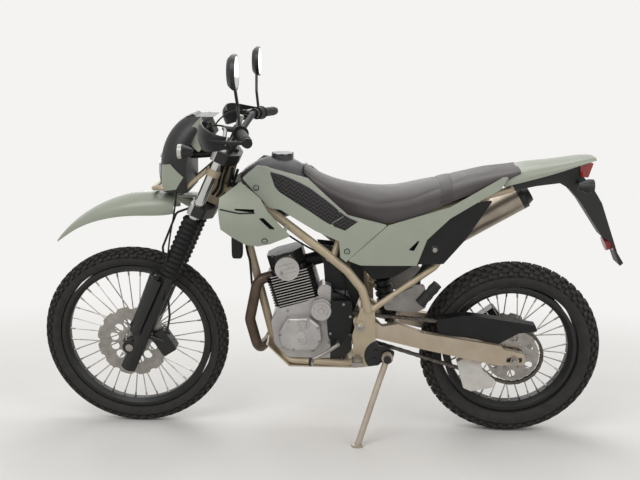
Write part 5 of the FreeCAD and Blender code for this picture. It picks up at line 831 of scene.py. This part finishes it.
def seam_stitches():
    """Thread stitches a few millimetres above the side seams, one every six millimetres."""
    x = np.arange(-20.0, 600.0, STITCH_STEP)
    x = x[(x < 385.0) | (x > 452.0)]
    grid, facing = saddle_at(x)
    half = grid.shape[1] // 2
    level = np.interp(x, SEAM_X, SEAM_Z) + STITCH_UP
    starts, ways = [], []
    for k in range(len(x)):
        for part in (slice(None, half), slice(None, half, -1)):
            z = grid[k, part, 2]
            starts.append([x[k]] + [np.interp(level[k], z, grid[k, part, c]) for c in (1, 2)])
            ways.append([np.interp(level[k], z, facing[k, part, c]) for c in range(3)])
    starts, ways = np.array(starts), unit(np.array(ways))
    run = np.tile([[STITCH_LENGTH, 0, 0]], (len(starts), 1))
    run[:, 2] = STITCH_LENGTH * np.repeat(np.gradient(level, x), 2)
    points, faces = rods(starts + ways * 1.1, starts + ways * 1.1 + run, 0.55, 5)
    item = mesh_piece("seat_stitches", points, faces, THREAD, "chassis")
    return item


PAD_TOP = np.array([(-172.0, 984.0), (-120.0, 972.0), (-44.0, 939.0), (29.0, 889.0), (80.0, 847.0), (124.0, 826.0)])
PAD_LOW = np.array([(-170.0, 974.0), (-151.0, 928.0), (-104.0, 899.0), (-37.0, 859.0), (30.0, 815.0), (81.0, 795.0)])
SLASH_AT = 0.83


def outermost(x, z, side):
    """How far out the tank and its panels reach at x and z, in millimetres from the middle plane."""
    reach = []
    for node in ("tank_panels", "fuel_tank", "seat"):
        try:
            place, _ = touch(node, x, z, side)
        except ValueError:
            continue
        reach.append(abs(((place - SHIFT) * 1000 @ TILT)[1]))
    return max(reach)


def pad_grid(side):
    """Rows of surface points along the pad, splined from a coarse grid of points found on the panels."""
    along = np.linspace(0, 1, 13)
    top = np.stack([np.interp(along * 5, np.arange(6), PAD_TOP[:, k]) for k in (0, 1)], 1)
    low = np.stack([np.interp(along * 5, np.arange(6), PAD_LOW[:, k]) for k in (0, 1)], 1)
    across = np.linspace(0, 1, 4)[None, :, None]
    flat = low[:, None] * (1 - across) + top[:, None] * across
    depth = [[outermost(x, z, side) for x, z in row] for row in flat]
    coarse = np.stack([flat[..., 0], side * np.array(depth), flat[..., 1]], 2)
    return spline(spline(coarse, 6).transpose(1, 0, 2), 5).transpose(1, 0, 2)


def side_pads():
    """The textured pads on the tank's panels: a thin skin over them, bevelled to its edges."""
    parts, trim = [], []
    for side in (-1, 1):
        grid = pad_grid(side)
        rows, columns = grid.shape[:2]
        u = np.linspace(0, 1, rows)[:, None]
        v = np.linspace(0, 1, columns)[None]
        slash = np.exp(-((u + 0.10 * v - SLASH_AT) / 0.018) ** 2)
        rise = 0.4 + 2.6 * np.sin(np.pi * v) ** 0.25 * np.sin(np.pi * u) ** 0.15 - 2.2 * slash
        out = np.array([0.0, side, 0.0])
        outer = grid + out * rise[..., None]
        loop = np.concatenate([outer, (grid - out * 3.0)[:, ::-1]], 1)
        parts.append((loop.reshape(-1, 3), sleeve_faces(rows, 2 * columns, clockwise=side < 0)))
        trim.append(hose(outer[1:-1:5, -1] + out * 0.3, 1.3, 4, 6))
        cut = int(SLASH_AT * (rows - 1))
        trim.append(hose(outer[cut - 1, 2:-2] + out * 1.4, 1.5, 1, 6))
    points, faces = joined(parts)
    mesh_piece("side_pads", points, faces, PAD_SKIN, "chassis", 40.0)
    points, faces = joined(trim)
    return mesh_piece("side_pad_edges", points, faces, EDGE_TRIM, "chassis")


side_pads()
saddle()
strap()
seam_stitches()

# Bolts, covers and plugs


PANEL_BOLTS = [("tank_panels", -218.0, 932.0), ("shrouds", -187.0, 761.0), ("tank_panels", 89.0, 722.0)]
panel_spots = [(node, x, z, side) for node, x, z in PANEL_BOLTS for side in (-1, 1)]
fasteners("panel_bolt_collars", "chassis", BLACK_METAL, panel_spots, COLLAR, 6.0)
fasteners("panel_bolts", "chassis", GREEN, panel_spots, SCREW, 7.4)

GENERATOR_MIDDLE = (-73.0, 398.0)
GENERATOR_BOLTS = np.array([
    (-152.0, 397.0), (-139.0, 345.5), (-100.0, 334.0), (-19.0, 334.0),
    (6.0, 372.0), (0.0, 430.0), (-40.0, 462.0), (-120.0, 458.0),
])
pulled_in = GENERATOR_MIDDLE + (GENERATOR_BOLTS - GENERATOR_MIDDLE) * 0.88
CASE_BOLTS = [(-119.0, 475.0), (-13.0, 478.0), (33.0, 434.0), (30.0, 357.0), (-73.0, 328.0), (-141.0, 372.0)]
engine_spots = [("generator_cover", x, z, -1) for x, z in pulled_in]
engine_spots += [("crankcase", x, z, -1) for x, z in CASE_BOLTS]
COVER_BOLTS = [(34.0, 402.0), (60.0, 362.0), (104.0, 468.0), (80.0, 513.0)]
engine_spots += [("sprocket_cover", x, z, -1) for x, z in COVER_BOLTS]
engine_spots += circle_spots("crankcase", (8.0, 402.0), 76.0, 7, 1)
fasteners("engine_bolts", "chassis", STEEL, engine_spots, SCREW, 5.2)
head_spots = circle_spots("cylinder_head", CAM_MIDDLE[::2], 36.0, 3, -1, 0.6)
fasteners("cam_cover_bolts", "chassis", STEEL, head_spots, SCREW, 5.0)
plug_spots = [("generator_cover", -63.0, 436.0, -1), ("generator_cover", -62.0, 379.0, -1)]
fasteners("generator_plugs", "chassis", CAST_ALLOY, plug_spots, PLUG, 15.0)
STARTER_CAP = [(1.0, -0.2), (1.0, 0.1), (0.95, 0.17), (0.72, 0.19), (0.68, 0.13), (0.3, 0.15), (0.26, 0.22)]
fasteners("starter_cap", "chassis", CAST_ALLOY, [("crankcase", 1.0, 486.0, -1)], STARTER_CAP, 37.0)
pivot_spots = [("frame", 138.0, 442.0, side) for side in (-1, 1)]
fasteners("swingarm_pivot_bolts", "chassis", STEEL, pivot_spots, BOLT_WITH_WASHER, 12.0)

front_disc_spots = circle_spots("front_disc", FRONT_AXLE[::2], 42.0, 6)
rear_disc_spots = circle_spots("rear_disc", REAR_AXLE[::2], 42.0, 6, 1)
sprocket_spots = circle_spots("rear_sprocket", REAR_AXLE[::2], 48.0, 6)
fasteners("front_disc_bolts", "front_wheel", STEEL, front_disc_spots, SCREW, 5.6)
fasteners("rear_disc_bolts", "rear_wheel", STEEL, rear_disc_spots, SCREW, 5.6)
fasteners("sprocket_bolts", "rear_wheel", STEEL, sprocket_spots, BOLT_WITH_WASHER, 5.6)

LOCK_SPOT = [("airbox", 386.0, 725.0, -1)]
fasteners("seat_lock_ring", "chassis", BLACK_METAL, LOCK_SPOT, COLLAR, 9.0)
fasteners("seat_lock", "chassis", STEEL, LOCK_SPOT, PLUG, 9.0)

# Lines, cables and boxes

# The path of the crease on the left shroud, where a black strip is painted shade.
CREASE = np.array([(-330.0, 872.0), (-267.0, 860.0), (-217.0, 861.0)])
CREASE_RADIUS, CREASE_POINTS = 2.6, 24


def shroud_crease_shade():
    """Painted shade in the crease on the left shroud: a thin black round strip through points found on its surface."""
    reach = np.concatenate([[0], np.cumsum(np.linalg.norm(np.diff(CREASE, axis=0), axis=1))])
    at = np.linspace(0, reach[-1], CREASE_POINTS)
    x, z = [np.interp(at, reach, CREASE[:, k]) for k in (0, 1)]
    middles = np.array([touch("shrouds", *spot)[0] for spot in zip(x, z)])
    strip = hose(middles, CREASE_RADIUS / 1000, 2, 8)
    return mesh_piece("shroud_crease_shade", *strip, BLACK_PLASTIC, "chassis", leaned=True)


shroud_crease_shade()


def cables(name, body, routes, radius_mm, material):
    """Round cables along given routes, joined as one piece."""
    shape = joined([hose(route, radius_mm, 8, 10) for route in routes])
    return mesh_piece(name, *shape, material, body)


cables("downtube_cable", "chassis", [
    [(-268, -30, 700), (-262, -34, 672), (-255, -36, 644), (-249, -36, 558), (-238, -34, 463)],
], 4.2, RUBBER)
cables("front_brake_line", "steering", [
    [(-551, -116, 520), (-540, -118, 600), (-521, -118, 740), (-503, -114, 830), (-492, -108, 905)],
], 3.0, RUBBER)
cables("head_loom", "chassis", [
    [fork(-24, -36, 622), fork(-34, -34, 650), fork(-30, -36, 690), fork(-20, -38, 738)],
    [fork(-10, -42, 622), fork(-16, -46, 650), fork(-8, -44, 690), fork(-4, -40, 738)],
    [fork(6, -40, 622), fork(0, -44, 655), fork(8, -42, 700), fork(12, -38, 738)],
    [fork(-36, -22, 622), fork(-44, -24, 664), fork(-38, -26, 738)],
    [fork(-24, 36, 622), fork(-34, 34, 650), fork(-20, 38, 738)],
], 5.0, RUBBER)
LOOM_BOX = block(fork(-50, 0, 660), (13.0, 30.0, 30.0))
WIRING_BOX = block((-296.0, -58.0, 710.0), (19.0, 20.0, 46.0))
mesh_piece("loom_box", *LOOM_BOX, BLACK_PLASTIC, "chassis", 60.0)
mesh_piece("wiring_box", *WIRING_BOX, BLACK_PLASTIC, "chassis", 60.0)


def plates(name, outline, y, thick, material):
    """A flat plate on each side, of an outline in x and z: its points at two depths."""
    outline = np.asarray(outline, float)
    count = len(outline)
    parts = []
    for side in (-1, 1):
        depth = np.repeat([side * y, side * (y + thick)], count)
        points = np.stack([np.tile(outline[:, 0], 2), depth, np.tile(outline[:, 1], 2)], 1)
        parts.append((points, sleeve_faces(2, count, clockwise=side > 0)))
    return mesh_piece(name, *joined(parts), material, "chassis", 30.0)


# Black plates behind the shrouds' slots: painted shade, dark sheets where the shrouds' inner faces lie in shade.
plates("shroud_shade_plates", [
    (-305.0, 895.0), (-285.0, 790.0), (-240.0, 765.0), (-170.0, 765.0), (-130.0, 785.0), (-190.0, 850.0),
    (-225.0, 905.0),
], 122.0, 4.0, BLACK_PLASTIC)
# The black mud shield between engine and shock.
plates("mud_shield", [
    (96.0, 345.0), (124.0, 350.0), (118.0, 470.0), (150.0, 560.0), (150.0, 640.0), (100.0, 668.0), (30.0, 708.0),
    (-20.0, 712.0), (6.0, 640.0), (14.0, 548.0), (98.0, 540.0),
], 30.0, 3.0, BLACK_PLASTIC)
INTAKE_RUBBERS = joined([
    hose([(-62, 0, 640), (-20, 0, 652), (10, 0, 660)], 24.0, 6, 20),
    hose([(60, 0, 676), (90, 0, 688), (125, 0, 700)], 30.0, 6, 20),
])
mesh_piece("intake_rubbers", *INTAKE_RUBBERS, RUBBER, "chassis")
BARREL = [(23.0, 0.0), (26.0, 2.0), (26.0, 12.0), (30.0, 14.0), (30.0, 40.0), (26.0, 43.0), (26.0, 54.0), (23.0, 56.0)]
SENSOR_CAP = [(17.0, 0.0), (17.0, 16.0), (14.0, 20.0)]
THROTTLE_BODY = joined([
    studs([(4.0, 0.0, 658.0)], [(0.93, 0.0, 0.3)], BARREL, 24),
    studs([(28.0, -28.0, 668.0)], [(0.0, -1.0, 0.0)], SENSOR_CAP, 20),
])
mesh_piece("throttle_body", *THROTTLE_BODY, CAST_ALLOY, "chassis")
cables("intake_cables", "chassis", [
    [(20, -44, 660), (-20, -52, 690), (-90, -50, 730), (-180, -46, 790)],
    [(60, -40, 640), (78, -60, 600), (84, -62, 540), (70, -58, 500)],
], 3.2, RUBBER)
cables("bar_cables", "steering", [
    [(-292, -222, 1146), (-345, -190, 1146), (-384, -120, 1118), (-398, -62, 1070)],
    [(-292, 222, 1146), (-345, 190, 1146), (-384, 120, 1118), (-398, 62, 1070)],
], 3.0, RUBBER)
PERCH_WAY = (0.3, 0.06, 0.95)
ADJUSTER = [(8.0, 0.0), (9.5, 1.5), (9.5, 30.0), (7.5, 32.0)]
RED_RING = [(7.0, 0.0), (10.2, 1.0), (10.2, 7.0), (7.0, 8.0)]
BAR_ADJUSTER = studs([(-263.0, -203.0, 1151.5)], [PERCH_WAY], ADJUSTER, 16)
RED_COLLAR = studs([(-265.0, -203.0, 1144.0)], [PERCH_WAY], RED_RING, 16)
mesh_piece("bar_adjuster", *BAR_ADJUSTER, STEEL, "steering")
mesh_piece("red_collar", *RED_COLLAR, RED_METAL, "steering")

# Stage, light and camera


def seen_directly(tree):
    """One for what the camera sees directly, in a gloss or through glass, else zero."""
    path = add(tree, "ShaderNodeLightPath").outputs
    both = {"operation": "ADD", "use_clamp": True, 0: path["Is Camera Ray"], 1: path["Is Glossy Ray"]}
    either = add(tree, "ShaderNodeMath", both).outputs[0]
    all_three = {"operation": "ADD", "use_clamp": True, 0: either, 1: path["Is Transmission Ray"]}
    return add(tree, "ShaderNodeMath", all_three).outputs[0]


def floor_paint():
    """Pale painted floor; far from the machine it passes over into the white background."""
    material, tree, shader, place = surface("pale_painted_floor", Roughness=0.75)
    shaded(tree, shader, place, 700.0, "#E3E1DE", "#E8E6E3", 4.0)
    away = add(tree, "ShaderNodeVectorMath", {"operation": "LENGTH", 0: place}).outputs["Value"]
    fade = add(tree, "ShaderNodeMapRange", {
        "interpolation_type": "SMOOTHSTEP", 0: away, "From Min": 1.2, "From Max": 3.4,
    }).outputs[0]
    share = add(tree, "ShaderNodeMath", {"operation": "MULTIPLY", 0: fade, 1: seen_directly(tree)}).outputs[0]
    glow = add(tree, "ShaderNodeEmission", {"Color": linear(WHITE)}).outputs[0]
    mix = add(tree, "ShaderNodeMixShader", {0: share, 1: shader.outputs[0], 2: glow}).outputs[0]
    tree.links.new(mix, tree.nodes["Material Output"].inputs["Surface"])
    return material


WHITE = "#F4F3F1"
LAMPS = (
    ("key_lamp", (-1.6, -3.2, 3.4), 2.6, 78.0), ("fill_lamp", (2.8, -3.0, 2.6), 2.6, 46.0),
    ("top_lamp", (0.2, 0.6, 3.8), 3.0, 52.0), ("back_lamp", (-0.6, 3.4, 2.8), 2.6, 40.0),
)
LAMP_AIM = (0, 0, 0.6)
# The camera: focal length, horizon and picture width in pixels, place in millimetres, yaw and roll.
FOCAL, HORIZON, PICTURE_WIDTH, SENSOR = 807.0, 79.0, 640.0, 36.0
CAMERA_AT = np.array([-13.0, -2981.0, 987.0])
CAMERA_YAW, CAMERA_ROLL = math.radians(2.12), math.radians(0.81)
FLOOR_HALF = 30.0


def stage():
    """A pale floor that keeps the shadow, a white background, soft lamps and the camera."""
    span = FLOOR_HALF
    mesh = bpy.data.meshes.new("floor")
    mesh.from_pydata([(-span, -span, 0), (span, -span, 0), (span, span, 0), (-span, span, 0)], [], [(0, 1, 2, 3)])
    floor = bpy.data.objects.new("floor", mesh)
    bpy.context.scene.collection.objects.link(floor)
    mesh.materials.append(floor_paint())
    world = bpy.data.worlds.new("studio")
    bpy.context.scene.world = world
    world.use_nodes = True
    tree = world.node_tree
    tree.nodes.clear()
    light = add(tree, "ShaderNodeMapRange", {0: seen_directly(tree), "To Min": 0.42, "To Max": 1.0}).outputs[0]
    back = add(tree, "ShaderNodeBackground", {"Color": linear(WHITE), "Strength": light}).outputs[0]
    add(tree, "ShaderNodeOutputWorld", {"Surface": back})
    for name, place, size, power in LAMPS:
        data = bpy.data.lights.new(name, "AREA")
        data.size = size
        data.energy = power
        lamp = bpy.data.objects.new(name, data)
        lamp.location = place
        lamp.rotation_mode = "QUATERNION"
        lamp.rotation_quaternion = (Vector(LAMP_AIM) - Vector(place)).to_track_quat("-Z", "Y")
        bpy.context.scene.collection.objects.link(lamp)
    yaw, pitch, roll = CAMERA_YAW, math.atan2(HORIZON, FOCAL), CAMERA_ROLL
    x, y, z = CAMERA_AT
    place = np.array([
        x * math.cos(yaw) - y * math.sin(yaw), x * math.sin(yaw) + y * math.cos(yaw), z,
    ]) / 1000 + SHIFT
    ahead = np.array([-math.sin(yaw) * math.cos(pitch), math.cos(yaw) * math.cos(pitch), -math.sin(pitch)])
    right = np.array([math.cos(yaw), math.sin(yaw), 0])
    up = np.cross(right, ahead)
    right, up = right * math.cos(roll) + up * math.sin(roll), up * math.cos(roll) - right * math.sin(roll)
    camera = bpy.data.objects.new("camera", bpy.data.cameras.new("camera"))
    camera.data.sensor_width = SENSOR
    camera.data.lens = FOCAL / PICTURE_WIDTH * SENSOR
    camera.matrix_world = Matrix(np.column_stack([right, up, -ahead]).tolist()).to_4x4()
    camera.location = place
    bpy.context.scene.collection.objects.link(camera)
    bpy.context.scene.camera = camera
    bpy.context.scene.view_settings.view_transform = "Standard"


stage()
